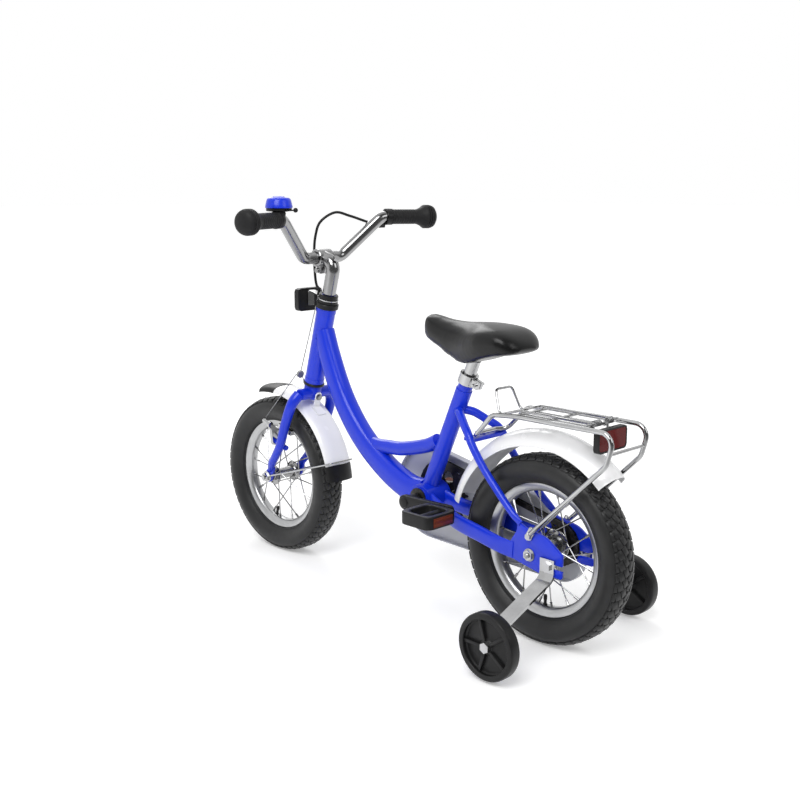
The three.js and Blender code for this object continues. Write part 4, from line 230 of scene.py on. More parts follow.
class Finish(Nodes):
    """A material on the Principled shader, with the nodes that vary it over the surface."""

    def __init__(self, name, base, roughness, metallic=0.0, **fixed):
        self.material = bpy.data.materials.new(name)
        self.material.use_nodes = True
        super().__init__(self.material.node_tree)
        self.shader = self.tree.nodes["Principled BSDF"]
        self.base = (*base, 1.0)
        self.set("Base Color", self.base)
        self.set("Roughness", roughness)
        self.set("Metallic", metallic)
        for key, value in fixed.items():
            self.set(key.replace("_", " ").title().replace("Ior", "IOR"), value)
        self.material.diffuse_color = self.base

    def set(self, name, value):
        """Sets or links one of the shader's sockets."""
        if isinstance(value, Socket):
            self.tree.links.new(value.socket, self.shader.inputs[name])
        else:
            self.shader.inputs[name].default_value = value

    def place(self, stretch=(1, 1, 1), turn=(0, 0, 0)):
        """Object coordinates, stretched and turned."""
        coords = self.node("ShaderNodeTexCoord", {}, {}, "Object")
        return self.node("ShaderNodeMapping", {}, {"Vector": coords, "Scale": stretch, "Rotation": turn})

    def noise(self, scale, detail=3.0, stretch=(1, 1, 1)):
        """Noise from 0 to 1, with scale in lumps per metre."""
        inputs = {"Vector": self.place(stretch), "Scale": scale, "Detail": detail}
        return self.node("ShaderNodeTexNoise", {}, inputs, "Fac")

    def cells(self, scale, feature="F1", turn=(0, 0, 0), randomness=1.0):
        """Distance into the cells of a Voronoi pattern."""
        inputs = {"Vector": self.place(turn=turn), "Scale": scale, "Randomness": randomness}
        return self.node("ShaderNodeTexVoronoi", {"feature": feature}, inputs, "Distance")

    def tinted(self, factor, stops, other):
        """The base colour moved towards another, by nothing at the low stop and by most at the high one."""
        low, high, most = stops
        share = self.ramp(factor, (low, 0.0), (high, most))
        mix = self.node("ShaderNodeMix", {"data_type": "RGBA"}, {0: share, 6: self.base, 7: (*other, 1.0)}, 2)
        self.set("Base Color", mix)

    def bumped(self, height, strength, depth):
        """Adds relief of a depth in millimetres."""
        inputs = {"Height": height, "Strength": strength, "Distance": depth * MM}
        self.set("Normal", self.node("ShaderNodeBump", {}, inputs, "Normal"))


def darker(tone, share):
    """A colour scaled by a share."""
    return tuple(channel * share for channel in tone)


def surface(name, tone, cloud, stops, other, rough, relief, fine=None, grain=None, pits=None, **fixed):
    """A finish with clouds of another tone, uneven roughness and a fine relief.

    cloud, fine and grain are the scale, detail and stretch of a noise. Roughness is rough[0] plus rough[1]
    times the fine noise, or times the clouds where there is none. The relief is grain, or pits per metre.
    """
    finish = Finish(name, tone, rough[0], **fixed)
    clouds = finish.noise(*cloud)
    finish.tinted(clouds, stops, other)
    finish.set("Roughness", rough[0] + (finish.noise(*fine) if fine else clouds) * rough[1])
    finish.bumped(finish.cells(pits) if pits else finish.noise(*grain), *relief)
    return finish.material


def surfaces():
    """What each plain finish is made of."""
    own = colours()
    return {
        # Wet gloss paint with faint orange peel and dust in the low places
        "blue_paint": dict(
            tone=own.paint, cloud=(9, 4), stops=(0.35, 0.75, 0.3), other=darker(own.paint, 0.82),
            rough=(0.26, 0.1), fine=(45, 5), grain=(520, 2), relief=(0.04, 0.05), coat_weight=0.15,
            coat_roughness=0.05, specular_ior_level=0.4,
        ),
        # Bright plating with faint clouding and pits
        "chrome": dict(
            tone=own.chrome, cloud=(26, 5), stops=(0.4, 0.7, 0.5), other=darker(own.chrome, 0.6),
            rough=(0.05, 0.1), fine=(120, 4), grain=(900, 2), relief=(0.06, 0.05), metallic=1.0,
        ),
        # Plating of the handlebar and stem, brushed to a darker satin
        "satin_chrome": dict(
            tone=own.satin, cloud=(90, 5, (1, 5, 1)), stops=(0.4, 0.75, 0.3), other=darker(own.satin, 0.8),
            rough=(0.12, 0.1), grain=(800, 2, (1, 4, 1)), relief=(0.02, 0.03), metallic=1.0,
        ),
        # Zinc-plated fasteners, wire and axles
        "steel": dict(
            tone=(0.34, 0.345, 0.35), cloud=(80, 4), stops=(0.4, 0.75, 0.6), other=(0.2, 0.2, 0.2),
            rough=(0.24, 0.2), fine=(300, 3), grain=(1500, 2), relief=(0.1, 0.05), metallic=1.0,
        ),
        # Brushed alloy rims, a little dull at the brake track
        "alloy_rim": dict(
            tone=own.alloy, cloud=(60, 6, (1, 14, 1)), stops=(0.35, 0.7, 0.5),
            other=darker(own.alloy, 0.75), rough=(0.22, 0.18), grain=(700, 2, (1, 6, 1)),
            relief=(0.08, 0.05), metallic=1.0,
        ),
        # Oiled black steel of the chain and the toothed wheels
        "dark_steel": dict(
            tone=(0.035, 0.034, 0.033), cloud=(140, 5), stops=(0.5, 0.72, 0.8), other=(0.09, 0.082, 0.075),
            rough=(0.26, 0.3), grain=(1400, 3), relief=(0.2, 0.06), metallic=0.85,
        ),
        # Moulded tyre rubber with a dusty bloom
        "tyre_rubber": dict(
            tone=own.tyre, cloud=(55, 5), stops=(0.4, 0.8, 0.7), other=(0.024, 0.024, 0.0245),
            rough=(0.34, 0.2), fine=(160, 4), grain=(1300, 3), relief=(0.25, 0.12), specular_ior_level=0.36,
        ),
        # Soft grip rubber with a close grain
        "grip_rubber": dict(
            tone=own.rubber, cloud=(70, 4), stops=(0.4, 0.8, 0.6), other=(0.02, 0.02, 0.021),
            rough=(0.45, 0.22), fine=(210, 3), pits=1900, relief=(0.25, 0.1), specular_ior_level=0.25,
        ),
        # Moulded black plastic with spark-eroded grain
        "black_plastic": dict(
            tone=own.plastic, cloud=(60, 3), stops=(0.45, 0.85, 0.5), other=(0.018, 0.018, 0.019),
            rough=(0.28, 0.18), fine=(190, 4), grain=(1700, 2), relief=(0.18, 0.07),
            specular_ior_level=0.25,
        ),
        # Glossy white sheet of the fenders
        "white_sheet": dict(
            tone=own.fender, cloud=(12, 4), stops=(0.5, 0.85, 0.35), other=(0.74, 0.75, 0.77),
            rough=(0.18, 0.14), fine=(60, 3), grain=(420, 2), relief=(0.05, 0.08), coat_weight=0.3,
            coat_roughness=0.1,
        ),
        # Pale moulded plastic of the chain guard
        "grey_plastic": dict(
            tone=own.guard, cloud=(16, 4), stops=(0.45, 0.8, 0.5), other=darker(own.guard, 0.86),
            rough=(0.3, 0.18), fine=(140, 4), grain=(1200, 2), relief=(0.12, 0.07),
        ),
    }


def reflector(name, tone, turn):
    """Moulded reflector plastic with rows of small prisms behind a clear skin, turned about Y."""
    finish = Finish(name, tone, 0.14, specular_ior_level=0.22)
    prisms = finish.cells(420, turn=(0, turn, 0), randomness=0.0)
    finish.tinted(prisms, (0.15, 0.6, 1.0), darker(tone, 0.35))
    finish.set("Roughness", 0.14 + prisms * 0.2)
    finish.bumped(prisms, 0.25, 0.2)
    return finish.material


def vinyl(name):
    """Grained vinyl cover with worn, smoother high spots."""
    finish = Finish(name, colours().vinyl, 0.27, specular_ior_level=0.3)
    wear = finish.noise(22, 4)
    finish.tinted(wear, (0.45, 0.8, 0.6), (0.01, 0.01, 0.0103))
    finish.set("Roughness", 0.27 + wear * 0.05)
    creases = finish.ramp(finish.cells(620, "DISTANCE_TO_EDGE"), (0.0, 0.0), (0.12, 1.0))
    finish.bumped(creases, 0.08, 0.06)
    return finish.material


CLEAR = (0.7, 0.71, 0.73)
MAKERS = {
    "red_lens": lambda name: reflector(name, colours().red, 0),
    "amber_lens": lambda name: reflector(name, colours().amber, 0.3),
    "clear_lens": lambda name: reflector(name, CLEAR, 0.265),
    "saddle_vinyl": vinyl,
}
MADE = {}


def material(name):
    """The named finish, made once."""
    if name not in MADE:
        MADE[name] = MAKERS[name](name) if name in MAKERS else surface(name, **surfaces()[name])
    return MADE[name]


# Routes and outlines
def smooth_route(places, steps):
    """Points on a smooth curve through the places, spaced as evenly as its spans allow."""
    points = [Vector(place) for place in places]
    held = [points[0] * 2 - points[1], *points, points[-1] * 2 - points[-2]]
    route = []
    spans = len(points) - 1
    for i in range(steps + 1):
        share = i / steps * spans
        index = min(int(share), spans - 1)
        route.append(on_span(held[index : index + 4], share - index))
    return route


def on_span(held, share):
    """A point on the middle span of four held points, by the centripetal rule."""
    knots = [0.0]
    for a, b in zip(held, held[1:]):
        knots.append(knots[-1] + max((b - a).length, 1e-6) ** 0.5)
    t = knots[1] + (knots[2] - knots[1]) * share
    row = held
    for level in (1, 2, 3):
        new = []
        for i in range(len(row) - 1):
            low, high = (knots[i], knots[i + level]) if level < 3 else (knots[1], knots[2])
            new.append(row[i].lerp(row[i + 1], (t - low) / (high - low)))
        row = new
    return row[0]


def corner_arc(before, corner, after, radius, steps):
    """Points of an arc that rounds a corner."""
    back = before - corner
    ahead = after - corner
    half = back.angle(ahead) / 2
    reach = min(radius / math.tan(half), back.length * 0.49, ahead.length * 0.49)
    radius = reach * math.tan(half)
    back.normalize()
    ahead.normalize()
    centre = corner + (back + ahead).normalized() * (radius / math.sin(half))
    start = corner + back * reach - centre
    end = corner + ahead * reach - centre
    sweep = start.angle(end)
    turns = [sweep * i / steps for i in range(steps + 1)]
    return [
        centre + (start * math.sin(sweep - turn) + end * math.sin(turn)) / math.sin(sweep) for turn in turns
    ]


def bent(places, radius, steps):
    """A route of straight runs joined by round bends."""
    points = [Vector(place) for place in places]
    route = [points[0]]
    for i in range(1, len(points) - 1):
        route += corner_arc(points[i - 1], points[i], points[i + 1], radius, steps)
    return [*route, points[-1]]


def rounded(corners, steps=6):
    """A closed flat outline whose corners [x, y, radius] are rounded."""
    outline = []
    count = len(corners)
    for i, (x, y, radius) in enumerate(corners):
        if not radius:
            outline.append((x, y))
            continue
        before = Vector((*corners[i - 1][:2], 0))
        after = Vector((*corners[(i + 1) % count][:2], 0))
        for point in corner_arc(before, Vector((x, y, 0)), after, radius, steps):
            outline.append((point.x, point.y))
    return outline


def round_outline(wide, tall=None, sides=24, power=2.0):
    """A round or squared-off outline of half sizes wide and tall."""
    tall = tall or wide
    outline = []
    for i in range(sides):
        turn = (i + 0.5) / sides * math.tau
        x, y = (math.copysign(abs(part) ** (2 / power), part) for part in (math.cos(turn), math.sin(turn)))
        outline.append((x * wide, y * tall))
    return outline


def box_outline(wide, tall, corner):
    """A rectangle with rounded corners."""
    x, y = wide / 2, tall / 2
    return rounded([(-x, -y, corner), (x, -y, corner), (x, y, corner), (-x, y, corner)])


def stations(route, side=ACROSS, scale=None, closed=False):
    """A matrix at each point of a route, with Z along it and X towards the side.

    scale(share) gives the outline's width and height at a share of the way.
    """
    route = [Vector(point) for point in route]
    side = Vector(side)
    last = len(route) - 1
    frames = []
    for i, point in enumerate(route):
        before, after = route[max(i - 1, 0)], route[min(i + 1, last)]
        if closed:
            before, after = route[i - 1], route[(i + 1) % (last + 1)]
        along = ((after - point).normalized() + (point - before).normalized()).normalized()
        across = (side - along * side.dot(along)).normalized()
        turn = Matrix((across, along.cross(across), along)).transposed().to_4x4()
        wide, tall = scale(i / last) if scale else (1, 1)
        frames.append(Matrix.Translation(point) @ turn @ Matrix.Diagonal((wide, tall, 1, 1)))
    return frames


def off_axis(point, place, way):
    """How far a point stands from an axis."""
    reach = point - place
    return (reach - way * reach.dot(way)).length


def meeting(outline, frames, place, way, radius):
    """The points where a swept outline first comes within a radius of an axis."""
    ring = []
    for x, y in outline:
        line = [frame @ Vector((x, y, 0)) for frame in frames]
        clear = [off_axis(point, place, way) - radius for point in line]
        for i in range(len(line) - 1):
            if clear[i] > 0 >= clear[i + 1]:
                ring.append(line[i].lerp(line[i + 1], clear[i] / (clear[i] - clear[i + 1])))
                break
    return ring


def outward(degrees):
    """The direction in X and Z at an angle above forward."""
    turn = math.radians(degrees)
    return Vector((math.cos(turn), 0, math.sin(turn)))


# Shapes
def of_kind(items, kind):
    """The items that are of one bmesh type."""
    return [item for item in items if isinstance(item, kind)]


class Shape:
    """A mesh in progress, in the millimetres of one space."""

    def __init__(self, space=BIKE):
        self.bm = bmesh.new()
        self.space = space

    def loop(self, places):
        """A closed ring of edges."""
        verts = [self.bm.verts.new(place) for place in places]
        return [self.bm.edges.new((verts[i - 1], verts[i])) for i in range(len(verts))]

    def extruded(self, edges, matrix):
        """Extrudes edges and moves the copies."""
        result = bmesh.ops.extrude_edge_only(self.bm, edges=edges)["geom"]
        moved = set(of_kind(result, bmesh.types.BMVert))
        bmesh.ops.transform(self.bm, matrix=matrix, verts=list(moved))
        edges = of_kind(result, bmesh.types.BMEdge)
        return [edge for edge in edges if edge.verts[0] in moved and edge.verts[1] in moved]

    def sweep(self, outline, frames, capped=True, closed=False):
        """Carries an outline through a row of frames."""
        first = self.loop([frames[0] @ Vector((x, y, 0)) for x, y in outline])
        edges = first
        for before, after in zip(frames, frames[1:]):
            edges = self.extruded(edges, after @ before.inverted())
        if closed:
            bmesh.ops.bridge_loops(self.bm, edges=edges + first)
        elif capped:
            bmesh.ops.contextual_create(self.bm, geom=first)
            bmesh.ops.contextual_create(self.bm, geom=edges)
        return self

    def tube(self, route, radius, sides=20, side=ACROSS, scale=None, capped=True):
        """A round bar along a route."""
        return self.sweep(round_outline(radius, sides=sides), stations(route, side, scale), capped)

    def bead(self, ring, radius, side):
        """A weld bead laid round a ring of points."""
        return self.sweep(round_outline(radius, sides=8), stations(ring, side, closed=True), closed=True)

    def pin(self, start, end, radius, sides=24):
        """A straight round bar."""
        way = Vector(end) - Vector(start)
        side = ACROSS if abs(way.x) > abs(way.y) else FORWARD
        return self.tube([start, end], radius, sides, side)

    def profile(self, points, place, out, way):
        """The corners of a profile of (radius, along), in the plane of two directions."""
        return [self.bm.verts.new(place + out * radius + way * along) for radius, along in points]

    def arched(self, profile, place, start, sweep, steps):
        """Spins a closed profile of (radius, along Y) through a sweep from a start angle, both in degrees."""
        place = Vector(place)
        face = self.bm.faces.new(self.profile(profile, place, outward(start), ACROSS))
        bmesh.ops.spin(self.bm, geom=[face], cent=place, axis=-ACROSS, angle=math.radians(sweep), steps=steps)
        return self

    def cross_pin(self, x, z, low, high, radius, sides=24):
        """A straight round bar across the bike."""
        return self.pin((x, low, z), (x, high, z), radius, sides)

    def hexagon(self, start, end, across):
        """A nut or bolt head."""
        return self.pin(start, end, across / math.sqrt(3), 6)

    def turned(self, profile, place=(0, 0, 0), way=ACROSS, steps=48):
        """Spins a profile of (radius, along) about an axis; one that ends off the axis becomes a ring."""
        way, place = Vector(way).normalized(), Vector(place)
        verts = self.profile(profile, place, way.orthogonal().normalized(), way)
        edges = [self.bm.edges.new(pair) for pair in zip(verts, verts[1:])]
        if profile[0][0] and profile[-1][0]:
            edges.append(self.bm.edges.new((verts[-1], verts[0])))
        bmesh.ops.spin(
            self.bm, geom=verts + edges, cent=place, axis=way, angle=math.tau, steps=steps, use_merge=True
        )
        return self

    def turned_part(self, profile, place, way, out, angle, steps):
        """Spins a closed profile of (radius, along) part of the way round an axis, from the out direction."""
        way, place = Vector(way).normalized(), Vector(place)
        verts = self.profile(profile, place, out, way)
        face = self.bm.faces.new(verts)
        geom = [face, *face.edges, *verts]
        bmesh.ops.spin(self.bm, geom=geom, cent=place, axis=way, angle=angle, steps=steps)
        return self

    def plate(self, outline, place, across, over, thick, bevel=0.0):
        """A flat plate: outline in across and over from a place, extruded by thick along their normal."""
        across, over = Vector(across), Vector(over)
        verts = [self.bm.verts.new(Vector(place) + across * x + over * y) for x, y in outline]
        face = self.bm.faces.new(verts)
        result = bmesh.ops.extrude_face_region(self.bm, geom=[face])["geom"]
        normal = across.cross(over).normalized()
        bmesh.ops.translate(self.bm, vec=normal * thick, verts=of_kind(result, bmesh.types.BMVert))
        if bevel:
            caps = [face, *of_kind(result, bmesh.types.BMFace)]
            self.bevelled([edge for cap in caps for edge in cap.edges], bevel)
        return self

    def side_plate(self, outline, inner, outer, bevel=0.0):
        """A plate drawn in X and Z that lies from inner to outer along Y."""
        return self.plate(outline, (0, outer, 0), FORWARD, UPRIGHT, outer - inner, bevel)

    def holed_plate(self, outlines, low, high):
        """A plate drawn in X and Z with holes, from low to high along Y."""
        edges = [edge for outline in outlines for edge in self.loop([(x, low, z) for x, z in outline])]
        filled = bmesh.ops.triangle_fill(self.bm, use_beauty=True, edges=edges)["geom"]
        faces = of_kind(filled, bmesh.types.BMFace)
        result = bmesh.ops.extrude_face_region(self.bm, geom=faces, use_keep_orig=True)["geom"]
        bmesh.ops.translate(self.bm, vec=(0, high - low, 0), verts=of_kind(result, bmesh.types.BMVert))
        return self

    def bevelled(self, edges, width, segments=2):
        """Rounds edges."""
        settings = {"segments": segments, "profile": 0.5, "affect": "EDGES", "material": -1}
        bmesh.ops.bevel(self.bm, geom=list(set(edges)), offset=width, **settings)

    def block(self, low, high, bevel=0.0):
        """A box between two corners."""
        low, high = Vector(low), Vector(high)
        size = high - low
        return self.cube(Matrix.Translation((low + high) / 2) @ Matrix.Diagonal((*size, 1)), bevel)

    def cube(self, matrix, bevel, segments=2):
        """A unit cube placed by a matrix."""
        made = bmesh.ops.create_cube(self.bm, size=1, matrix=matrix)["verts"]
        if bevel:
            self.bevelled({edge for vert in made for edge in vert.link_edges}, bevel, segments)
        return self

    def ball(self, centre, radius, steps):
        """A round ball."""
        matrix = Matrix.Translation(centre)
        bmesh.ops.create_uvsphere(
            self.bm, u_segments=steps, v_segments=steps // 2, radius=radius, matrix=matrix
        )
        return self

    def take(self, other, mirrored=False):
        """Adds another shape's mesh and, where it was made for the left side only, its mirror image."""
        mesh = bpy.data.meshes.new("part")
        other.bm.to_mesh(mesh)
        other.bm.free()
        self.bm.from_mesh(mesh)
        if mirrored:
            mesh.transform(OTHER_SIDE)
            self.bm.from_mesh(mesh)
        bpy.data.meshes.remove(mesh)
        return self

    def moved(self, matrix):
        """Moves the whole shape."""
        bmesh.ops.transform(self.bm, matrix=matrix, verts=self.bm.verts[:])
        return self

    def piece(self, name, finish, body, nodes=(), angle=35, bevel=0.0):
        """Places the finished piece, makes it ride and hides the nodes it stands for."""
        bmesh.ops.remove_doubles(self.bm, verts=self.bm.verts[:], dist=1e-4)
        bmesh.ops.transform(self.bm, matrix=self.space, verts=self.bm.verts[:])
        bmesh.ops.recalc_face_normals(self.bm, faces=self.bm.faces[:])
        mesh = bpy.data.meshes.new(name)
        self.bm.to_mesh(mesh)
        self.bm.free()
        return dressed(name, mesh, finish, body, nodes, angle, bevel)


def dressed(name, mesh, finish, body, nodes, angle, bevel):
    """Makes an object of a mesh, with its finish, smoothing and body."""
    obj = bpy.data.objects.new(name, mesh)
    bpy.context.scene.collection.objects.link(obj)
    mesh.materials.append(material(finish))
    mesh.shade_smooth()
    mesh.set_sharp_from_angle(angle=math.radians(angle))
    if bevel:
        rounding = obj.modifiers.new("edges", "BEVEL")
        rounding.width = bevel * MM
        rounding.segments = 2
        rounding.limit_method = "ANGLE"
        rounding.angle_limit = math.radians(angle)
        rounding.harden_normals = True
    if body:
        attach(obj, body)
    if nodes:
        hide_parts(*nodes)
    for node in nodes:
        hidden = frame["nodes"][node].data.materials
        hidden.clear()
        hidden.append(material(finish))
    return obj


def body_of(node):
    """The name of the body that carries a CAD node."""
    for name, members in frame["record"]["behaviour"]["bodies"].items():
        if node in members:
            return name
    raise ValueError(f"no body holds {node}")


def refined(node, finish, bevel, angle):
    """A merged copy of a CAD node with softened edges and its finish, in the node's place."""
    bm = bmesh.new()
    bm.from_mesh(frame["nodes"][node].data)
    bmesh.ops.remove_doubles(bm, verts=bm.verts[:], dist=1e-6)
    bmesh.ops.dissolve_limit(bm, angle_limit=math.radians(1), verts=bm.verts[:], edges=bm.edges[:])
    mesh = bpy.data.meshes.new(node + "_finished")
    bm.to_mesh(mesh)
    bm.free()
    return dressed(node + "_finished", mesh, finish, body_of(node), [node], angle, bevel)


# Layout
SEAT_TILT = math.radians(23)
SEAT_UP = Vector((-math.sin(SEAT_TILT), 0, math.cos(SEAT_TILT)))
SEAT_TOP = Vector((174.41, 0, 403))
SEAT_FOOT = SEAT_TOP - SEAT_UP * (212 / SEAT_UP.z)
CRANK = Vector((257, 0, 191))
REAR_WHEEL = Vector((0, 0, 155))
TRAINING_WHEEL = Vector((-37.5, 0, 56.5))
FRONT_WHEEL = Vector((42.4, 0, -217.73))
HEAD_UP = Vector((-math.sin(HEAD_TILT), 0, math.cos(HEAD_TILT)))
BAR_CENTRE = Vector((34.5, 0, 236.5))
GRIP_WAY = Vector((-31, 111, 7)).normalized()
FRAME_REACH = 309
FRAME_RISE = 163
STAY_SIDE = 41.5


def on_frame(shares):
    """Places between the crank and the lower end of the head tube."""
    return [Vector((CRANK.x + ahead * FRAME_REACH, 0, CRANK.z + up * FRAME_RISE)) for ahead, up in shares]


def on_stay(shares, forward, rise):
    """Places along a left stay."""
    return [
        Vector((ahead * forward, out * STAY_SIDE, REAR_WHEEL.z + up * rise)) for ahead, out, up in shares
    ]


def bar_place(side):
    """A place on the left grip's straight line, that far from the middle."""
    return Vector((21.5, 120, 315.5)) + GRIP_WAY * ((side - 120) / GRIP_WAY.y)


def flipped(point):
    """The same place on the other side."""
    return Vector((point[0], -point[1], point[2]))


def circle(x, z, radius, sides=32):
    """A round hole or rim in X and Z."""
    return [(x + a, z + b) for a, b in round_outline(radius, sides=sides)]


def arc(x, z, radius, start, end, steps):
    """Points of an arc in X and Z, with its angles in half turns."""
    turns = [math.pi * (start + (end - start) * i / steps) for i in range(steps + 1)]
    return [(x + radius * math.cos(turn), z + radius * math.sin(turn)) for turn in turns]


# Frame
def make_main_frame():
    """Head tube, deep main tube, short upper tube, seat tube and crank shell."""
    shape = Shape()
    bead = sizes().weld_bead / MM
    main_shares = [
        (0.04, 0.01), (0.13, 0.015), (0.261, 0.096), (0.422, 0.269), (0.582, 0.519), (0.733, 0.888),
        (0.85, 1.35), (0.9, 1.62),
    ]
    section = round_outline(18, 18, 36, 2.7)
    deep = stations(smooth_route(on_frame(main_shares), 56), scale=lambda share: (1, (50 - 14 * share) / 36))
    shape.sweep(section, deep)
    shape.bead(meeting(section, deep[20:], HEAD_LOW, HEAD_UP, 18.4), bead, UPRIGHT)
    shape.bead(meeting(section, deep[::-1][20:], CRANK, ACROSS, 24.4), bead, UPRIGHT)
    upper_shares = [
        (-0.06, 0.62), (0.005, 0.555), (0.083, 0.505), (0.163, 0.466), (0.245, 0.434), (0.33, 0.424),
        (0.43, 0.412), (0.5, 0.425),
    ]
    upper = stations(smooth_route(on_frame(upper_shares), 36))
    shape.sweep(round_outline(12.7), upper)
    shape.bead(
        meeting(round_outline(12.7, sides=28), upper[::-1][4:], SEAT_TOP, SEAT_UP, 14.8), bead, SEAT_UP
    )
    collar = SEAT_TOP - SEAT_UP * 14
    shape.pin(SEAT_FOOT, collar, 14.3, 28).pin(collar, SEAT_TOP, 12.7, 28)
    shape.cross_pin(CRANK.x, CRANK.z, -27, 27, 24, 40).cross_pin(CRANK.x, CRANK.z, -30, 30, 20, 40)
    for low, high, radius in ((0, 150, 18), (0, 9, 18.8), (141, 150, 18.8)):
        shape.pin(HEAD_LOW + HEAD_UP * low, HEAD_LOW + HEAD_UP * high, radius, 40)
    shape.piece("main_frame_tubes", "blue_paint", "frame", ["main_frame"], bevel=0.6)


def seat_stay_size(share):
    """The seat stay narrows to the rear and flattens onto its plate."""
    return min(1 - 0.22 * share, 0.2 + (1 - share) * 7), 1 - 0.22 * share


def make_rear_stays():
    """Curved seat and chain stays on each side, with their dropout plates."""
    seat_shares = [
        (1.37, 0.2, 0.8), (1.28, 0.42, 0.785), (1.15, 0.68, 0.74), (1.01, 0.93, 0.69), (0.93, 1, 0.63),
        (0.75, 1.01, 0.5), (0.5, 1.03, 0.36), (0.28, 1.06, 0.25), (0.14, 1.075, 0.19),
    ]
    chain_shares = [
        (0.95, 0.4, 0.98), (0.85, 0.52, 0.72), (0.76, 0.6, 0.6), (0.62, 0.88, 0.46), (0.42, 0.96, 0.25),
        (0.24, 1.03, 0.05), (0.13, 1.07, 0),
    ]
    corners = [
        (40, -13, 4), (40, 13, 4), (26, 35, 20), (26, 50, 7.5), (10, 42.5, 7.5), (-31.5, 35, 40),
        (-63, 13, 4), (-63, -5, 0), (-33.5, -5, 4), (-33.5, -13, 4), (-63, -13, 0), (-63, -26, 4),
        (-21, -26, 4),
    ]
    outline = [(x, REAR_WHEEL.z + z) for x, z in rounded(corners)]
    for side, name in SIDES:
        shape = Shape()
        shape.tube(smooth_route(on_stay(seat_shares, 135, 248), 60), 7.5, 20, scale=seat_stay_size)
        chain_stay = stations(
            smooth_route(on_stay(chain_shares, 257, 36), 48),
            scale=lambda share: (min(1, 0.1 + (1 - share) * 3.2), 1),
        )
        shape.sweep(round_outline(6, 14, 24, 2.4), chain_stay)
        shape.side_plate(outline, 39, 44, 0.9)
        if side < 0:
            shape.moved(OTHER_SIDE)
        shape.piece(f"{name}_stays_and_dropout", "blue_paint", "frame", [f"{name}_rear_stays"])


def make_bottom_bracket():
    """Cups and lock rings of the crank bearing."""
    shape = Shape()
    for side in (1, -1):
        cup = [(9, 26), (9, 33), (17, 33), (18.5, 32.2), (18.5, 30.4), (16, 30.4), (16, 26)]
        shape.turned([(radius, along * side) for radius, along in cup], CRANK)
    shape.piece("bottom_bracket_cups", "dark_steel", "frame", ["bottom_bracket"])


# Wheels
WHEEL_STEPS = 96


def other_face(profile):
    """A profile of (radius, along) mirrored to the wheel's other face, in reverse."""
    return [(radius, -along) for radius, along in profile[::-1]]


def make_tyre(name, space, centre, body):
    """Tyre with a bowed wall and moulded tread."""
    outer = sizes().tyre_radius / MM
    half = sizes().tyre_width / MM / 2
    depth = sizes().tread_depth / MM
    base = outer - depth
    walls = [
        (103.4, 0.34), (108.6, 0.4), (110, 0.47), (111, 0.56), (111.8, 0.63), (112.6, 0.62), (114.4, 0.68),
        (119, 0.82), (125, 0.94), (130, 0.99), (134.5, 1), (139, 0.975), (143.5, 0.91), (147, 0.8),
        (base - 2.6, 0.6), (base - 0.9, 0.34), (base, 0),
    ]
    profile = [(radius, half * share) for radius, share in walls]
    shape = Shape(space).turned(profile + other_face(profile[:-1]), centre, steps=WHEEL_STEPS)
    blocks = Shape(space)
    count = sizes().tread_blocks
    rows = [
        (base - 0.2, 5.4, 4, 14.6, 10, 26, 0), (base - 2, 15.2, 22, 14.6, 9.8, 24, -0.28),
        (base - 5, 21.6, 46, 13.6, 4.4, 4, -0.42),
    ]
    for radius, along, tilt, long, wide, skew, phase in rows:
        for side in (1, -1):
            offset = phase + (0.5 if side < 0 else 0)
            turn = Matrix.Rotation(math.tau * offset / count, 4, "Y")
            tilted = Matrix.Rotation(math.radians(tilt) * side, 4, "Z")
            place = Matrix.Translation((radius, along * side, 0)) @ tilted
            skewed = Matrix.Rotation(math.radians(skew) * side, 4, "X")
            size = Matrix.Diagonal((depth * 2, wide, long, 1))
            blocks.cube(Matrix.Translation(centre) @ turn @ place @ skewed @ size, 0.35, 1)
    made = blocks.bm.verts[:] + blocks.bm.edges[:] + blocks.bm.faces[:]
    angle = math.tau * (count - 1) / count
    bmesh.ops.spin(
        blocks.bm, geom=made, cent=centre, axis=ACROSS, angle=angle, steps=count - 1, use_duplicate=True
    )
    shape.piece(f"{name}_tyre_casing", "tyre_rubber", body, [f"{name}_tyre"], 40)
    blocks.piece(f"{name}_tyre_tread", "tyre_rubber", body, angle=50)


def make_rim(name, space, centre, body):
    """Channel rim with its valve."""
    wall = [(109.2, 12.5), (109.2, 11), (107.5, 10.6), (102, 8.5), (102, 0)]
    low = [(95, 0), (95, 5.2), (96.2, 7.6), (98.6, 9.6), (103, 12), (107.4, 12.9), (108.8, 13)]
    profile = wall + other_face(wall[:-1]) + other_face(low) + low[1:]
    channel = Shape(space).turned(profile, centre, steps=WHEEL_STEPS)
    channel.piece(f"{name}_rim_channel", "alloy_rim", body, [f"{name}_rim"])
    stem = [(3.6, -96), (3.6, -93), (2.6, -92), (2.6, -84), (0, -84)]
    cap = [(0, -77.4), (2.4, -77.6), (3.1, -78.6), (3.1, -86), (2.5, -86.6), (0, -86.6)]
    valve = Shape(space).turned(stem, centre, UPRIGHT, 16).turned(cap, centre, UPRIGHT, 16)
    valve.piece(f"{name}_valve", "black_plastic", body)


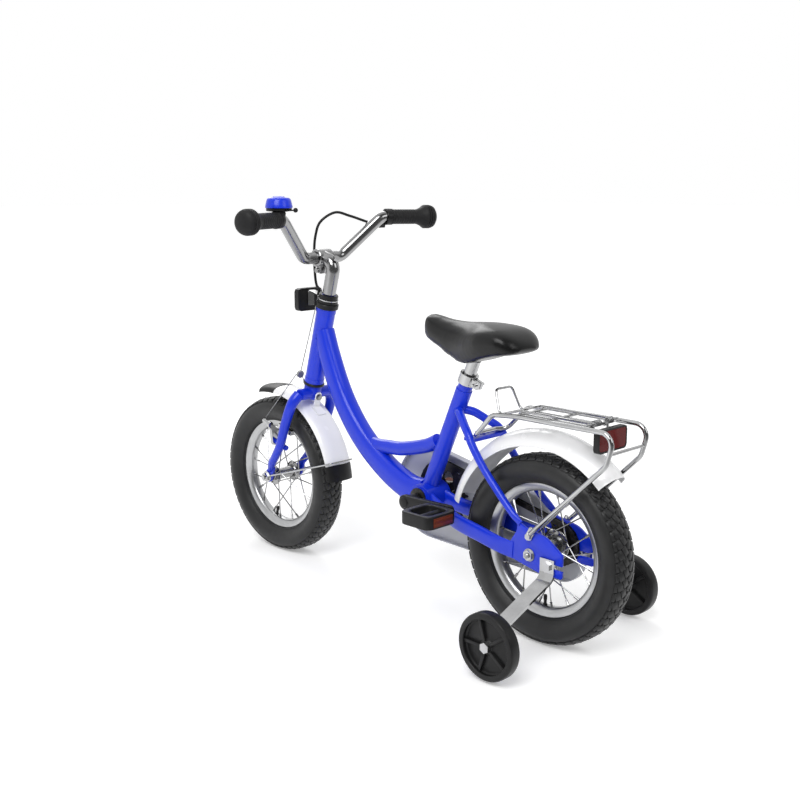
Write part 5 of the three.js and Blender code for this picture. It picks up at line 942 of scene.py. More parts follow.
def make_spokes(name, space, centre, body, hub_radius, flange_radius):
    """Hub with two flanges, and crossed spokes with their nipples."""
    edge = [
        (7.7, 31), (hub_radius - 1, 31), (hub_radius, 30), (hub_radius, 25.4), (flange_radius - 1, 25.4),
        (flange_radius, 24.6), (flange_radius, 23.8), (flange_radius - 1, 23), (hub_radius + 2, 21.6),
        (hub_radius, 19),
    ]
    shape = Shape(space).turned(edge + other_face(edge), centre)
    count = sizes().spokes
    wire = sizes().spoke_radius / MM
    for i in range(count):
        side, lean = 1 - i % 2 * 2, 1 - i // 2 % 2 * 2
        rim_turn = (i + 0.5) / count * math.tau
        hub_turn = rim_turn + math.radians(52) * lean
        ring = flange_radius - 2.9
        start = centre + Vector(
            (ring * math.cos(hub_turn), side * (24.2 + lean * 0.72), ring * math.sin(hub_turn))
        )
        end = centre + Vector((95.4 * math.cos(rim_turn), side * 3.1, 95.4 * math.sin(rim_turn)))
        way = (end - start).normalized()
        shape.pin(start, end, wire, 8)
        shape.pin(end - way * 9, end, wire * 1.9, 8)
        shape.cross_pin(start.x, start.z, start.y - 2.2, start.y + 2.2, wire * 1.5, 8)
    shape.piece(f"{name}_hub_and_spokes", "satin_chrome", body, [f"{name}_spokes"], 30)


def make_wheels():
    """Both wheels' tyres, rims, hubs and spokes."""
    wheels = (("rear", BIKE, REAR_WHEEL, (16, 26)), ("front", STEERING, FRONT_WHEEL, (11, 20)))
    for name, space, centre, radii in wheels:
        place = (name, space, centre, f"{name}_wheel")
        make_tyre(*place)
        make_rim(*place)
        make_spokes(*place, *radii)


# Drive
def make_crankset():
    """Spindle and two arms with rounded edges."""
    outline = arc(0, 0, 13, 0.35, 1.65, 14) + arc(100, 0, 9, -0.45, 0.45, 12)
    shape = Shape()
    for side, turn in ((1, math.pi), (-1, 0)):
        arm = Shape()
        arm.side_plate(outline, 55, 66, 2.4)
        arm.turned([(0, 66), (0, 69.4), (5, 69.2), (8.4, 68), (9.4, 66)], way=ACROSS, steps=32)
        place = Matrix.Translation(CRANK) @ Matrix.Rotation(turn + math.radians(3.5), 4, "Y")
        if side < 0:
            place = place @ OTHER_SIDE
        shape.take(arm.moved(place))
    shape.cross_pin(CRANK.x, CRANK.z, -60, 60, 8, 24)
    shape.turned([(8, 37), (10.4, 37), (10.4, 56), (8, 56)], CRANK)
    shape.piece("crank_arms", "black_plastic", "cranks", ["crankset"])


def make_pedal(name, side, centre):
    """Moulded pedal with an open tread, its barrel and two reflectors."""
    shape = Shape().holed_plate([box_outline(66, 68, 12), box_outline(46, 50, 12)], -11, 11)
    rims = [edge for edge in shape.bm.edges if len(edge.link_faces) == 2 and edge.calc_face_angle() > 1]
    shape.bevelled(rims, 2.2, 3)
    shape.moved(Matrix.Translation(centre) @ Matrix.Rotation(math.pi / 2, 4, "X"))
    shape.cross_pin(centre.x, centre.z, centre.y - 30, centre.y + 30, 7, 32)
    inner = centre.y - side * 34
    low, high = sorted((inner, inner - side * 8))
    shape.turned([(4, low), (7.4, low), (7.4, high), (4, high)], (centre.x, 0, centre.z), steps=24)
    shape.pin((centre.x, inner - side * 20, centre.z), (centre.x, centre.y, centre.z), 4.5)
    shape.piece(f"{name}_pedal_body", "black_plastic", f"pedal_{name}", [f"{name}_pedal"])
    for ahead in (-1, 1):
        end = "front" if ahead > 0 else "rear"
        face = centre.x + ahead * 33
        low = (face - 1.4, centre.y - 22, centre.z - 7.6)
        lens = Shape().block(low, (face + 1.4, centre.y + 22, centre.z + 7.6), 0.7)
        lens.piece(f"{name}_pedal_reflector_{end}", "amber_lens", f"pedal_{name}")


def make_pedals():
    """Both pedals, where the resting cranks hold them."""
    make_pedal("left", 1, Vector((157.19, 110, 197.1)))
    make_pedal("right", -1, Vector((356.81, -110, 184.9)))


def guard_outline(inset):
    """The chain guard's edge, moved inwards."""
    front = arc(293, 181, 86 - inset, -0.47, 0.62, 40)
    rear = arc(4, 133, 45 - inset, 0.6, 1.47, 24)
    return front + [(55.3, 221.6 - inset), (20.6, 192.9 - inset)] + rear


def make_chain_guard():
    """Chain guard: a flat face with a turned-in rim and a pressed border line."""
    holes = [circle(CRANK.x, CRANK.z, 22, 40), circle(0, REAR_WHEEL.z, 10.5), circle(-37.5, 146, 3.4, 16)]
    shape = Shape().holed_plate([guard_outline(0), *holes], -52.8, -51)
    shape.holed_plate([guard_outline(0), guard_outline(1.8)], -51.1, -41)
    shape.holed_plate([guard_outline(0), guard_outline(5)], -53.9, -52.7)
    shape.turned([(22, -54.2), (22, -52), (26.5, -52), (26.5, -53.4), (25.6, -54.2)], CRANK, steps=64)
    bolt = [(0, -53.8), (3, -53.6), (4.6, -52.7), (4.6, -46), (5, -46), (5, -43.4), (0, -43.4)]
    shape.turned(bolt, (159.3, 0, 173.8), steps=20)
    shape.piece("chain_guard_shell", "grey_plastic", "frame", ["chain_guard"], bevel=0.5)


# Stabilisers
def make_training_wheels():
    """Two moulded training wheels with five ribs on each face."""
    profile = [
        (5.4, 165.9), (9.6, 165.9), (11.4, 170), (12, 178.4), (15, 180), (40, 180.4), (42.5, 178.6),
        (42.5, 173.4), (43.4, 172.5), (48.6, 172.5), (50.8, 173.1), (52.1, 174.7), (52.5, 176.6),
        (52.5, 189.1), (52.1, 191), (50.8, 192.6), (48.6, 193.2), (43.4, 193.2), (42.5, 192.3), (42.5, 187),
        (40, 185.2), (15, 185.6), (12, 187), (11.2, 188.2), (5.4, 188.2),
    ]
    for side, name in SIDES:
        shape = Shape().turned(profile, steps=72)
        for i in range(5):
            rib = Shape().block((9, 175, -2.6), (44, 190.7, 2.6), 0.9)
            shape.take(rib.moved(Matrix.Rotation(math.tau * i / 5, 4, "Y")))
        shape.moved(Matrix.Translation(TRAINING_WHEEL))
        if side < 0:
            shape.moved(OTHER_SIDE)
        body = f"stabiliser_wheel_{name}"
        shape.piece(f"{name}_training_wheel_moulding", "black_plastic", body, [f"{name}_training_wheel"])


# Fenders and rack
ROLL_INSET = 0.6


def gutter(edge, crown, half, wall, steps=14):
    """The section of a fender: a shallow gutter."""
    turns = [math.pi * i / steps for i in range(steps + 1)]
    outside = [(edge + (crown - edge) * math.sin(turn), -half * math.cos(turn)) for turn in turns]
    low, rise, width = edge - 0.4, crown - wall - edge + 0.4, half - wall
    return outside + [(low + rise * math.sin(turn), -width * math.cos(turn)) for turn in turns[::-1]]


def rolled_gutter(space, wheel, section, roll, start, sweep, steps=56):
    """A fender blade round a wheel's centre, with its edges rolled to a radius."""
    edge, crown, half, wall = section
    shape = Shape(space).arched(gutter(edge, crown, half, wall), wheel, start, sweep, steps)
    for side in (1, -1):
        edges = [(edge + a, side * (half - ROLL_INSET) + b) for a, b in round_outline(roll, sides=8)]
        shape.arched(edges, wheel, start, sweep, steps)
    return shape


def make_rear_fender():
    """Rear fender with its bolt head."""
    shape = rolled_gutter(BIKE, REAR_WHEEL, (171, 195, 30, 1.6), 1.3, 16, 117, 64)
    toward = Vector((135, 0, 162))
    bolt = [(0, 1.8), (5.5, 1.4), (7, 0), (7, -1), (0, -1)]
    shape.turned(bolt, REAR_WHEEL + toward.normalized() * 193, -toward, 20)
    shape.piece("rear_fender_blade", "white_sheet", "frame", ["rear_fender"])


def make_front_fender():
    """Front fender with its bent bracket, its two black end caps and its wire stay."""
    blade = rolled_gutter(STEERING, FRONT_WHEEL, (170, 181, 30, 1.6), 1.2, 78.1, 70.8)
    leg = [(-7.5, -49), (7.5, -49), (7.5, -20), (4, -16), (-4, -16), (-7.5, -20)]
    blade.plate(leg, (-17.4, 0, 0), ACROSS, UPRIGHT, -2.2, 0.6)
    foot = [(181.4, -9.5), (183.4, -9.5), (183.4, 9.5), (181.4, 9.5)]
    blade.arched(foot, FRONT_WHEEL, 107.6, 8.4, 12)
    blade.piece("front_fender_blade", "white_sheet", "steering", ["front_fender"])
    washer = [(0, 0), (6.4, 0), (6.4, 1.2), (0, 1.2)]
    bolt = Shape(STEERING).turned(washer, (-19.7, 0, -24.6), -FORWARD, 28)
    bolt.hexagon((-20.8, 0, -24.6), (-24.6, 0, -24.6), 8.6).piece("front_fender_bolt", "steel", "steering")
    for name, start, sweep in (("front", 63, 15), ("rear", 149, 10)):
        cap = rolled_gutter(STEERING, FRONT_WHEEL, (169, 182, 31, 3.4), 1.2, start, sweep)
        cap.piece(f"front_fender_{name}_tip", "black_plastic", "steering", [f"front_fender_{name}_cap"])
    way = outward(147.5)
    side = [
        FRONT_WHEEL + way * out + ACROSS * along for out, along in ((183.1, 26.2), (170, 32.7), (9.3, 43.1))
    ]
    stay = Shape(STEERING)
    stay.tube(bent([*(flipped(place) for place in side[::-1]), *side], 5.4, 10), 1.8, 14, way)
    for low in (41.3, -44.9):
        stay.turned([(5.4, low), (11, low), (11, low + 3.6), (5.4, low + 3.6)], FRONT_WHEEL, ACROSS, 32)
    stay.piece("front_fender_wire", "chrome", "steering", ["front_fender_stay"])


def make_rack():
    """Rear carrier of smoothly bent rod, with cross bars, deck wires and flattened feet."""
    half = [
        (131, 22, 326.2), (119, 40.5, 326.2), (80, 45, 368), (32, 45, 372), (-152, 45, 372.5),
        (-138, 45.2, 323.4), (-4, 48.3, 191.1),
    ]
    shape = Shape()
    rod = bent(half, 24, 12)
    shape.tube(rod, 4, 18).tube([flipped(place) for place in rod], 4, 18)
    shape.pin((131, -24, 326.2), (131, 24, 326.2), 4, 18)
    for x, z in ((35.2, 372), (-23, 372), (-92, 372), (-143.4, 341)):
        shape.cross_pin(x, z, -45, 45, 2.6, 16)
    for out in (1, -1):
        shape.pin((35.2, out * 15, 369.4), (-92, out * 15, 369.4), 2.1, 14)
        shape.pin((-99, out * 36.2, 377.5), (-92, out * 36.2, 372), 2.6, 16)
        shape.cross_pin(-99, 377.5, *sorted((out * 22.4, out * 38.8)), 1.15, 12)
        strut = [(x, out * 18.2, z) for x, z in ((-92, 372), (-100.2, 358.2), (-105.1, 353), (-105.1, 345.2))]
        shape.tube(bent(strut, 6, 6), 2.6, 14)
    corners = [(9.3, 182.3, 4), (-1.7, 202.6, 3), (-12.6, 196.2, 3), (-2.8, 176.4, 7)]
    foot = Shape().side_plate(rounded(corners), 44.4, 47.2, 0.7).hexagon((0, 47, 185.5), (0, 51, 185.5), 9.4)
    shape.take(foot, mirrored=True)
    shape.piece("rear_carrier", "chrome", "frame", ["rear_rack"], 45)


def make_washers():
    """Washers and rounded ends of the rear axle."""
    washer = [(7, 44.1), (10.4, 44.1), (10.4, 45.4), (7, 45.4)]
    end = [(0, 54.4), (3, 54), (4.4, 52.6), (4.7, 50), (0, 50)]
    left = Shape().turned(washer, REAR_WHEEL, steps=36).turned(end, REAR_WHEEL, steps=24)
    shape = Shape().take(left, mirrored=True)
    shape.piece("rear_axle_washers", "steel", "frame")


# Steering
def make_fork():
    """Fork: crown, shoulders, curved legs and flattened tips."""
    shares = [
        (-0.06, 0.7, 0.1), (-0.05, 0.92, 0.16), (-0.02, 1.03, 0.25), (0.12, 1.04, 0.44), (0.24, 1.01, 0.61),
        (0.5, 0.96, 0.74), (0.8, 0.88, 0.86), (0.97, 0.77, 0.945),
    ]
    places = [(ahead * 42.4, out * 50, -down * 217.73) for ahead, out, down in shares]

    def taper(share):
        width = (11 - 4 * share) / 11
        fullness = min(1, (1 - share) * 3.5)
        return min(width, (2.25 + 8.75 * fullness) / 11), width

    leg = Shape(STEERING)
    leg.sweep(round_outline(11, sides=28), stations(smooth_route(places, 56), scale=taper))
    tip = arc(42.4, -217.73, 12, -0.9, 0.3, 14) + [(38.9, -187.73), (28.4, -193.73)]
    leg.side_plate(tip, 36, 41, 0.8).pin((0, 42, -136), (42, 42, -136), 5, 20)
    shape = Shape(STEERING).take(leg, mirrored=True)
    shape.tube([(-4.25, -35, -21.8), (-4.25, 35, -21.8)], 11, 28, UPRIGHT)
    crown = [
        (0, -33), (14, -33), (16.4, -32), (17, -30), (17, -7), (16, -5.4), (12.7, -5), (12.7, 60), (0, 60)
    ]
    shape.turned(crown, way=UPRIGHT)
    shape.turned([(11.3, 150), (12.7, 150), (12.7, 175.6), (11.3, 175.6)], way=UPRIGHT)
    shape.piece("fork_blades", "blue_paint", "steering", ["fork"], 40)


def make_headset():
    """Headset rings below and above the head tube."""
    rings = [
        (
            "lower_ring", "frame", ["headset_lower_cup"],
            [(18, 0), (19.6, 0), (20.5, -1), (20.5, -4.4), (19.8, -5), (18, -5)],
        ),
        (
            "upper_cup_body", "frame", ["headset_upper_cup"],
            [(13.2, 150.3), (20, 150.3), (21.5, 151.4), (21.5, 158.6), (20.4, 160.1), (13.2, 160.1)],
        ),
        (
            "adjusting_ring", "steering", [],
            [(13.2, 160.6), (18.5, 160.6), (19, 161.2), (19, 165.8), (18.5, 166.4), (13.2, 166.4)],
        ),
    ]
    for name, body, nodes, profile in rings:
        ring = Shape(STEERING).turned(profile, way=UPRIGHT)
        ring.piece(f"headset_{name}", "black_plastic", body, nodes)


def make_stem():
    """Quill stem with its bar clamp and bolt."""
    shape = Shape(STEERING)
    shape.tube([(0, 0, 178.2), *bent([(0, 0, 190), (0, 0, 236.5), (34.5, 0, 239.2)], 25.6, 14)], 12.7, 28)
    shape.pin((0, 0, 108), (0, 0, 180), 11, 28)
    shape.turned([(12, -17), (14.6, -17), (16, -15.6), (16, 15.6), (14.6, 17), (12, 17)], BAR_CENTRE)
    shape.block((20.1, -13, 209.3), (32.9, 13, 228.5), 2.6)
    shape.pin((26.5, -16.5, 214.9), (26.5, 16.5, 214.9), 3.2)
    for start, end in ((13, 17.4), (-13, -17)):
        shape.hexagon((26.5, start, 214.9), (26.5, end, 214.9), 9)
    shape.turned([(0, 0), (6.6, 0), (6.6, 5), (0, 5)], (-3, 0, 244.6), (-0.45, 0, 1), 6)
    shape.piece("stem_and_clamp", "satin_chrome", "bars", ["stem"], 40)


def make_handlebar():
    """High-rise handlebar bent from one tube."""
    half = [(34.5, 45, 236.5), (21.5, 120, 315.5), bar_place(221)]
    places = [flipped(place) for place in half[::-1]] + half
    tube = Shape(STEERING).tube(bent(places, 22.2, 14), 11.1, 28, UPRIGHT)
    tube.piece("handlebar_tube", "satin_chrome", "bars", ["handlebar"])


def make_grips():
    """Ribbed grips with a large safety knob at each end."""
    start = bar_place(138)
    knob = (bar_place(231) - start).length - 40
    profile = [(11.2, 0), (14.6, 0), (15.2, 0.8), (15.2, 3), (14.2, 3.8)]
    ribs = 9
    for i in range(ribs):
        place = 5 + (knob - 8) * i / ribs
        profile += [(13.5, place), (14, place + 0.8), (14, place + 3.6), (13.5, place + 4.4)]
    profile += [(14, knob), (15.4, knob + 5), (18, knob + 11), (20.4, knob + 14.6), (22, knob + 16.4)]
    for i in range(3):
        place = knob + 17.4 + i * 4.2
        profile += [(22.5, place), (22.5, place + 2.2), (21.2, place + 2.8), (21.2, place + 3.6)]
    profile += [(21.8, knob + 31), (20, knob + 35), (15.6, knob + 38.4), (8, knob + 39.8), (0, knob + 40)]
    for name, own in (("left", Vector), ("right", flipped)):
        shape = Shape(STEERING).turned(profile, own(start), own(GRIP_WAY), 40)
        shape.piece(f"{name}_grip_sleeve", "grip_rubber", "bars", [f"{name}_grip"], 30)


BELL_BASE = Vector((28.869, 125, 333.745))
LEVEL = Matrix.Rotation(HEAD_TILT, 4, "Y")


def make_bell():
    """Bell: strap round the bar, level base plate, dome with a stepped crown, and the striker."""
    level = LEVEL @ UPRIGHT
    base = Shape(STEERING)
    foot = bar_place(133)
    base.turned([(11.2, -4.6), (14.6, -4.6), (15, -4), (15, 4), (14.6, 4.6), (11.2, 4.6)], foot, GRIP_WAY, 40)
    plate = [(0, -0.6), (22.2, -0.6), (22.8, -0.2), (22.8, 0.4), (0, 0.4)]
    base.turned(plate, BELL_BASE, level, 48)
    dish = [(2, -6.6), (10, -6.6), (12, -5.4), (21.4, -4.6), (22.6, -3.6), (22.6, -0.6), (2, -0.6)]
    notch_end = math.radians(236)
    out = LEVEL @ Vector((math.cos(notch_end), math.sin(notch_end), 0))
    base.turned_part(dish, BELL_BASE, level, out, math.radians(292), 40)
    base.pin(BELL_BASE, BELL_BASE + level * 14, 2.4, 16)
    base.block((9, 123, 321), (30, 138.4, 333), 2.6)
    base.piece("bell_mount", "black_plastic", "bars", ["bell_base"])
    profile = [
        (23.4, 0.9), (24, 1.4), (24, 3.6), (23.4, 6.5), (21.6, 13.6), (20.4, 16.4), (18, 18.4), (14.6, 19),
        (10.6, 19.2), (10.2, 20.4), (9, 21), (0, 21.2),
    ]
    dome = Shape(STEERING).turned(profile, BELL_BASE, level, 56)
    dome.piece("bell_dome_shell", "blue_paint", "bars", ["bell_dome"])
    striker = Shape(STEERING)
    pivot = BELL_BASE + LEVEL @ Vector((-16.32, -1.2, -3.6))
    ball = pivot + LEVEL @ Vector((-13.2, -11.88, 1))
    striker.pin(pivot, ball, 1.3, 12).ball(ball, 4.25, 20)
    striker.pin(pivot - level * 1.5, pivot + level * 1.5, 3.7, 24)
    striker.pin(pivot, pivot + level * 2.4, 2, 16)
    striker.piece("bell_striker_arm", "black_plastic", "striker", ["bell_striker"])


def make_cables():
    """Brake cable housing with its end cap, run between the fork and the bars."""
    shares = [
        (1.09, -0.238, 1.327), (1.42, -0.115, 1.344), (1.71, -0.011, 1.255), (1.72, 0.013, 1.15),
        (1.67, 0.004, 1.01), (1.1, 0, 0.77),
    ]
    places = [(38.869, -120.7, 299.32), (38.869, -110.7, 299.32)]
    places += [(ahead * 34.5, out * 231, up * 236.5) for ahead, out, up in shares]
    places += [(28, 0, 176.4), (28, 0, 168.94)]
    shape = Shape(STEERING).tube(smooth_route(places, 90), 2.5, 14, FORWARD)
    shape.pin((28, 0, 168.94), (28, 0, 177), 3.2, 16)
    cover = shape.piece("brake_cable_cover", "black_plastic", None, ["brake_cable_housing"])
    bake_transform(cover)


# Seat
SADDLE_REAR = 44
SADDLE_NOSE = 266
SADDLE_VOXEL = 4 * MM
SADDLE_PRESSURE = 2.4
CLOTH_STEPS = 20
CALM_ROUNDS = 26
LAST_ROUNDS = 12
SADDLE_ROWS = [
    (0, 0.5, 0.5, 0.4), (0.04, 0.78, 0.7, 0.34), (0.14, 0.98, 0.92, 0.32), (0.3, 1, 0.98, 0.2),
    (0.42, 0.82, 0.97, 0.04), (0.54, 0.62, 0.96, -0.06), (0.66, 0.48, 0.98, 0.02), (0.8, 0.41, 1.02, 0.2),
    (0.94, 0.37, 1.1, 0.38), (1, 0.27, 1.02, 0.46),
]


def make_saddle():
    """Padded saddle, from cross sections (along, wide, top, skirt) that run from the rear to the nose."""
    steps = 30
    route = smooth_route([row[:3] for row in SADDLE_ROWS], steps)
    skirts = smooth_route([(row[0], row[3], 0) for row in SADDLE_ROWS], steps)
    section = [
        (0.5, 0.1), (0.86, 0), (0.96, 0.3), (1, 0.58), (0.93, 0.83), (0.68, 0.97), (0.3, 0.995), (0, 1)
    ]
    section += [(-out, up) for out, up in section[-2::-1]]
    shape = Shape()
    loops = []
    for (along, wide, top), skirt in zip(route, skirts):
        x = SADDLE_REAR + (SADDLE_NOSE - SADDLE_REAR) * along
        half, high, low = wide * 55, 437 + top * 69, 436 + skirt.y * 72
        loops.append(shape.loop([(x, out * half, low + up * (high - low)) for out, up in section]))
    for before, after in zip(loops, loops[1:]):
        bmesh.ops.bridge_loops(shape.bm, edges=before + after)
    for loop in (loops[0], loops[-1]):
        bmesh.ops.contextual_create(shape.bm, geom=loop)
    obj = shape.piece("saddle_cover", "saddle_vinyl", "seat", ["saddle"], 60)
    rounded_off(obj)


def rounded_off(obj):
    """Remeshes a closed shape evenly, swells it with cloth pressure and keeps every point near its start."""
    remesh = obj.modifiers.new("even", "REMESH")
    remesh.mode = "VOXEL"
    remesh.voxel_size = SADDLE_VOXEL
    applied(obj)
    start = [vert.co.copy() for vert in obj.data.vertices]
    cloth = obj.modifiers.new("swell", "CLOTH")
    cloth.settings.use_pressure = True
    cloth.settings.uniform_pressure_force = SADDLE_PRESSURE
    cloth.settings.effector_weights.gravity = 0
    cloth.point_cache.frame_start = 1
    cloth.point_cache.frame_end = CLOTH_STEPS
    for step in range(1, CLOTH_STEPS + 1):
        bpy.context.scene.frame_set(step)
    applied(obj)
    bpy.context.scene.frame_set(1)
    calmed(obj, CALM_ROUNDS)
    most = sizes().saddle_swell
    for vert, first in zip(obj.data.vertices, start):
        move = vert.co - first
        if move.length > most:
            vert.co = first + move * (most / move.length)
    calmed(obj, LAST_ROUNDS)
    fine = obj.modifiers.new("smooth", "SUBSURF")
    fine.levels = fine.render_levels = 1
    obj.data.shade_smooth()


def calmed(obj, rounds):
    """Smooths a mesh, which takes the ripples of the cloth and of the remesh out."""
    smoothed = bmesh.new()
    smoothed.from_mesh(obj.data)
    for _ in range(rounds):
        bmesh.ops.smooth_vert(
            smoothed, verts=smoothed.verts[:], factor=0.5, use_axis_x=True, use_axis_y=True, use_axis_z=True
        )
    smoothed.to_mesh(obj.data)
    smoothed.free()


def applied(obj):
    """Bakes an object's modifiers into its mesh."""
    depsgraph = bpy.context.evaluated_depsgraph_get()
    mesh = bpy.data.meshes.new_from_object(obj.evaluated_get(depsgraph), depsgraph=depsgraph)
    old = obj.data
    obj.modifiers.clear()
    obj.data = mesh
    bpy.data.meshes.remove(old)


def make_seat_post():
    """Seat post, from inside the seat tube to the saddle."""
    top = SEAT_TOP + SEAT_UP * 43
    post = Shape().pin(SEAT_TOP - SEAT_UP * 60, top, 11.1, 32)
    post.piece("seat_post_tube", "chrome", "seat", ["seat_post"])


# CAD nodes that keep their own shape
KEPT = {
    "stay_bridge": ("blue_paint", 0.5, 30),
    "seat_clamp": ("chrome", 0.6, 35),
    "chain": ("dark_steel", 0.35, 30),
    "chainring": ("dark_steel", 0.3, 30),
    "rear_sprocket": ("dark_steel", 0.3, 30),
    "left_stabiliser_bracket": ("chrome", 0.5, 35),
    "right_stabiliser_bracket": ("chrome", 0.5, 35),
    "rear_axle": ("chrome", 0.7, 35),
    "front_axle": ("chrome", 0.7, 35),
    "rack_spring_left": ("steel", 0, 80),
    "rack_spring_right": ("steel", 0, 80),
    "rack_clip": ("chrome", 0, 65),
    "rear_reflector_housing": ("black_plastic", 0.5, 30),
    "rear_reflector_lens": ("red_lens", 0.4, 30),
    "front_reflector_housing": ("black_plastic", 0.5, 30),
    "front_reflector_lens": ("clear_lens", 0.4, 30),
    "headset_locknut": ("black_plastic", 0.5, 35),
    "cable_hanger": ("chrome", 0.3, 35),
    "brake_lever_bracket": ("black_plastic", 0.8, 35),
    "brake_lever": ("black_plastic", 1.4, 35),
    "left_brake_arm": ("chrome", 0.8, 50),
    "right_brake_arm": ("chrome", 0.8, 50),
    "brake_wire": ("steel", 0, 65),
    "straddle_wire": ("steel", 0, 65),
}


def keep_nodes():
    """Finishes the CAD nodes that no smooth piece stands for."""
    for node, (finish, bevel, angle) in KEPT.items():
        refined(node, finish, bevel, angle)


# Stage
WORLD_LIGHT = 0.54
FLOOR_GLOW = 0.26
ROOM_SHADE = 0.88
FLOOR_WHITE = 0.93
FLOOR_SHADE = 0.33
DARK_SIDE = (-0.93, 0.36, 0.05)
LIGHTS = (
    ("key", (-1.2, 2.4, 3.0), 2.1, 88),
    ("fill", (-3.0, -0.6, 2.0), 1.6, 18),
    ("rim", (2.6, -1.4, 2.6), 1.8, 34),
)
LIT_PLACE = Vector((0, 0, 0.25))
CAMERA_PLACE = Vector((-1037.44, 1361.5, 731.13))
CAMERA_HEADING = math.radians(-44.824)
CAMERA_DIP = math.radians(11.161)


def make_stage():
    """Pale floor, soft studio light and the photograph's camera."""
    scene = bpy.context.scene
    scene.view_settings.view_transform = "Standard"
    bpy.ops.mesh.primitive_plane_add(size=60)
    floor = bpy.context.active_object
    floor.name = "floor"
    pale = Finish("pale_floor", (FLOOR_WHITE,) * 3, 0.9, emission_strength=1.0)
    spread = {0: pale.place((0.25, 0.25, 0.25))}
    reach = pale.node("ShaderNodeVectorMath", {"operation": "LENGTH"}, spread, "Value")
    shade = pale.ramp(pale.toward_dark(pale.place()) * FLOOR_SHADE, (0.12, 0.0), (0.4, ROOM_SHADE))
    kept = 1 - pale.ray("Glossy") * shade
    glow = pale.ramp(reach, (0.1, FLOOR_GLOW), (0.8, 1 - WORLD_LIGHT * FLOOR_WHITE))
    pale.set("Base Color", kept * FLOOR_WHITE)
    pale.set("Emission Color", pale.seen() * glow * kept)
    floor.data.materials.append(pale.material)
    for name, spot, size, power in LIGHTS:
        data = bpy.data.lights.new(name, "AREA")
        data.size = size
        data.energy = power
        spot = Vector(spot)
        aimed(name, data, spot, LIT_PLACE - spot)
    make_background(scene)
    data = bpy.data.cameras.new("camera")
    data.lens = 50
    data.sensor_width = 36
    turn = Matrix.Rotation(CAMERA_HEADING, 3, "Z") @ Matrix.Rotation(CAMERA_DIP, 3, "Y")
    scene.camera = aimed("camera", data, BIKE @ CAMERA_PLACE, turn @ FORWARD)


def aimed(name, data, place, look):
    """A lamp or camera at a place, turned to look along a direction."""
    obj = bpy.data.objects.new(name, data)
    obj.location = place
    obj.rotation_euler = look.to_track_quat("-Z", "Y").to_euler()
    bpy.context.scene.collection.objects.link(obj)
    return obj


def make_background(scene):
    """White to the camera and in glass, a softer light elsewhere, and a dark side of the room in gloss."""
    world = bpy.data.worlds.new("studio")
    world.use_nodes = True
    studio = Nodes(world.node_tree)
    shader = world.node_tree.nodes["Background"]
    shader.inputs["Color"].default_value = (1, 1, 1, 1)
    toward = studio.node("ShaderNodeTexCoord", {}, {}, "Generated")
    shade = studio.ramp(studio.toward_dark(toward), (0.0, 0.0), (0.5, ROOM_SHADE))
    strength = WORLD_LIGHT + studio.seen() * (1 - WORLD_LIGHT) - studio.ray("Glossy") * shade
    world.node_tree.links.new(strength.socket, shader.inputs["Strength"])
    scene.world = world


# Operators
class Builder:
    """Runs the functions that build one group of pieces."""

    def execute(self, context):
        for make in self.steps:
            make()
        return {"FINISHED"}


class BIKE_OT_frame(Builder, bpy.types.Operator):
    """Build the frame tubes, stays and crank bearing"""

    bl_idname = "kids_bike.frame"
    bl_label = "Frame"
    steps = (make_main_frame, make_rear_stays, make_bottom_bracket)


class BIKE_OT_wheels(Builder, bpy.types.Operator):
    """Build both laced wheels"""

    bl_idname = "kids_bike.wheels"
    bl_label = "Wheels"
    steps = (make_wheels,)


class BIKE_OT_drive(Builder, bpy.types.Operator):
    """Build the cranks, pedals and chain guard"""

    bl_idname = "kids_bike.drive"
    bl_label = "Drive"
    steps = (make_crankset, make_pedals, make_chain_guard)


class BIKE_OT_training_wheels(Builder, bpy.types.Operator):
    """Build the two training wheels"""

    bl_idname = "kids_bike.training_wheels"
    bl_label = "Training wheels"
    steps = (make_training_wheels,)


class BIKE_OT_fenders(Builder, bpy.types.Operator):
    """Build the fenders, the rear carrier and the axle washers"""

    bl_idname = "kids_bike.fenders"
    bl_label = "Fenders and carrier"
    steps = (make_rear_fender, make_front_fender, make_rack, make_washers)


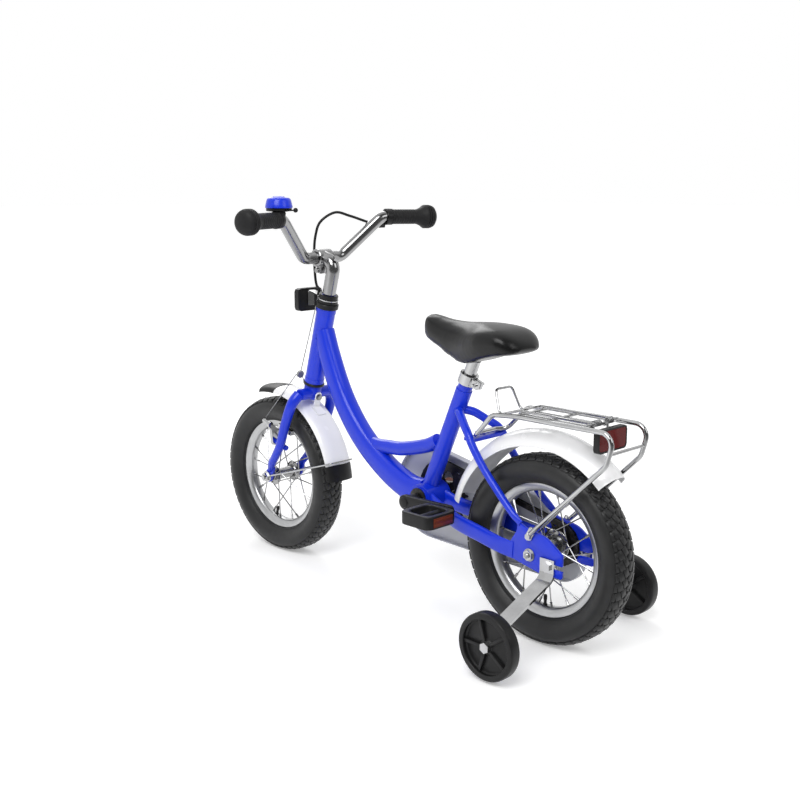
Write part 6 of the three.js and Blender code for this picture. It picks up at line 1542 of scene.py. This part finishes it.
class BIKE_OT_steering(Builder, bpy.types.Operator):
    """Build the fork, headset, stem, handlebar, grips, bell and cable"""

    bl_idname = "kids_bike.steering"
    bl_label = "Steering"
    steps = (make_fork, make_headset, make_stem, make_handlebar, make_grips, make_bell, make_cables)


class BIKE_OT_seat(Builder, bpy.types.Operator):
    """Build the seat post and the padded saddle"""

    bl_idname = "kids_bike.seat"
    bl_label = "Seat"
    steps = (make_seat_post, make_saddle)


class BIKE_OT_fittings(Builder, bpy.types.Operator):
    """Finish the small pieces that keep their CAD shape"""

    bl_idname = "kids_bike.fittings"
    bl_label = "Fittings"
    steps = (keep_nodes,)


class BIKE_OT_stage(Builder, bpy.types.Operator):
    """Set the floor, the lights and the camera"""

    bl_idname = "kids_bike.stage"
    bl_label = "Stage"
    steps = (make_stage,)


OPERATORS = (
    BIKE_OT_frame, BIKE_OT_wheels, BIKE_OT_drive, BIKE_OT_training_wheels, BIKE_OT_fenders, BIKE_OT_steering,
    BIKE_OT_seat, BIKE_OT_fittings, BIKE_OT_stage,
)


class BIKE_PT_panel(bpy.types.Panel):
    """The bike's settings and its build steps"""

    bl_label = "Kids bike"
    bl_idname = "BIKE_PT_panel"
    bl_space_type = "VIEW_3D"
    bl_region_type = "UI"
    bl_category = "Kids bike"

    def draw(self, context):
        for settings in (context.scene.bike_sizes, context.scene.bike_colours):
            for name in settings.__annotations__:
                self.layout.prop(settings, name)
        for operator in OPERATORS:
            self.layout.operator(operator.bl_idname)


CLASSES = (BikeSizes, BikeColours, *OPERATORS, BIKE_PT_panel)


def register():
    for item in CLASSES:
        bpy.utils.register_class(item)
    bpy.types.Scene.bike_sizes = PointerProperty(type=BikeSizes)
    bpy.types.Scene.bike_colours = PointerProperty(type=BikeColours)


def unregister():
    del bpy.types.Scene.bike_colours
    del bpy.types.Scene.bike_sizes
    for item in reversed(CLASSES):
        bpy.utils.unregister_class(item)


def main():
    register()
    for operator in OPERATORS:
        group, name = operator.bl_idname.split(".")
        getattr(getattr(bpy.ops, group), name)()


if __name__ == "__main__":
    main()
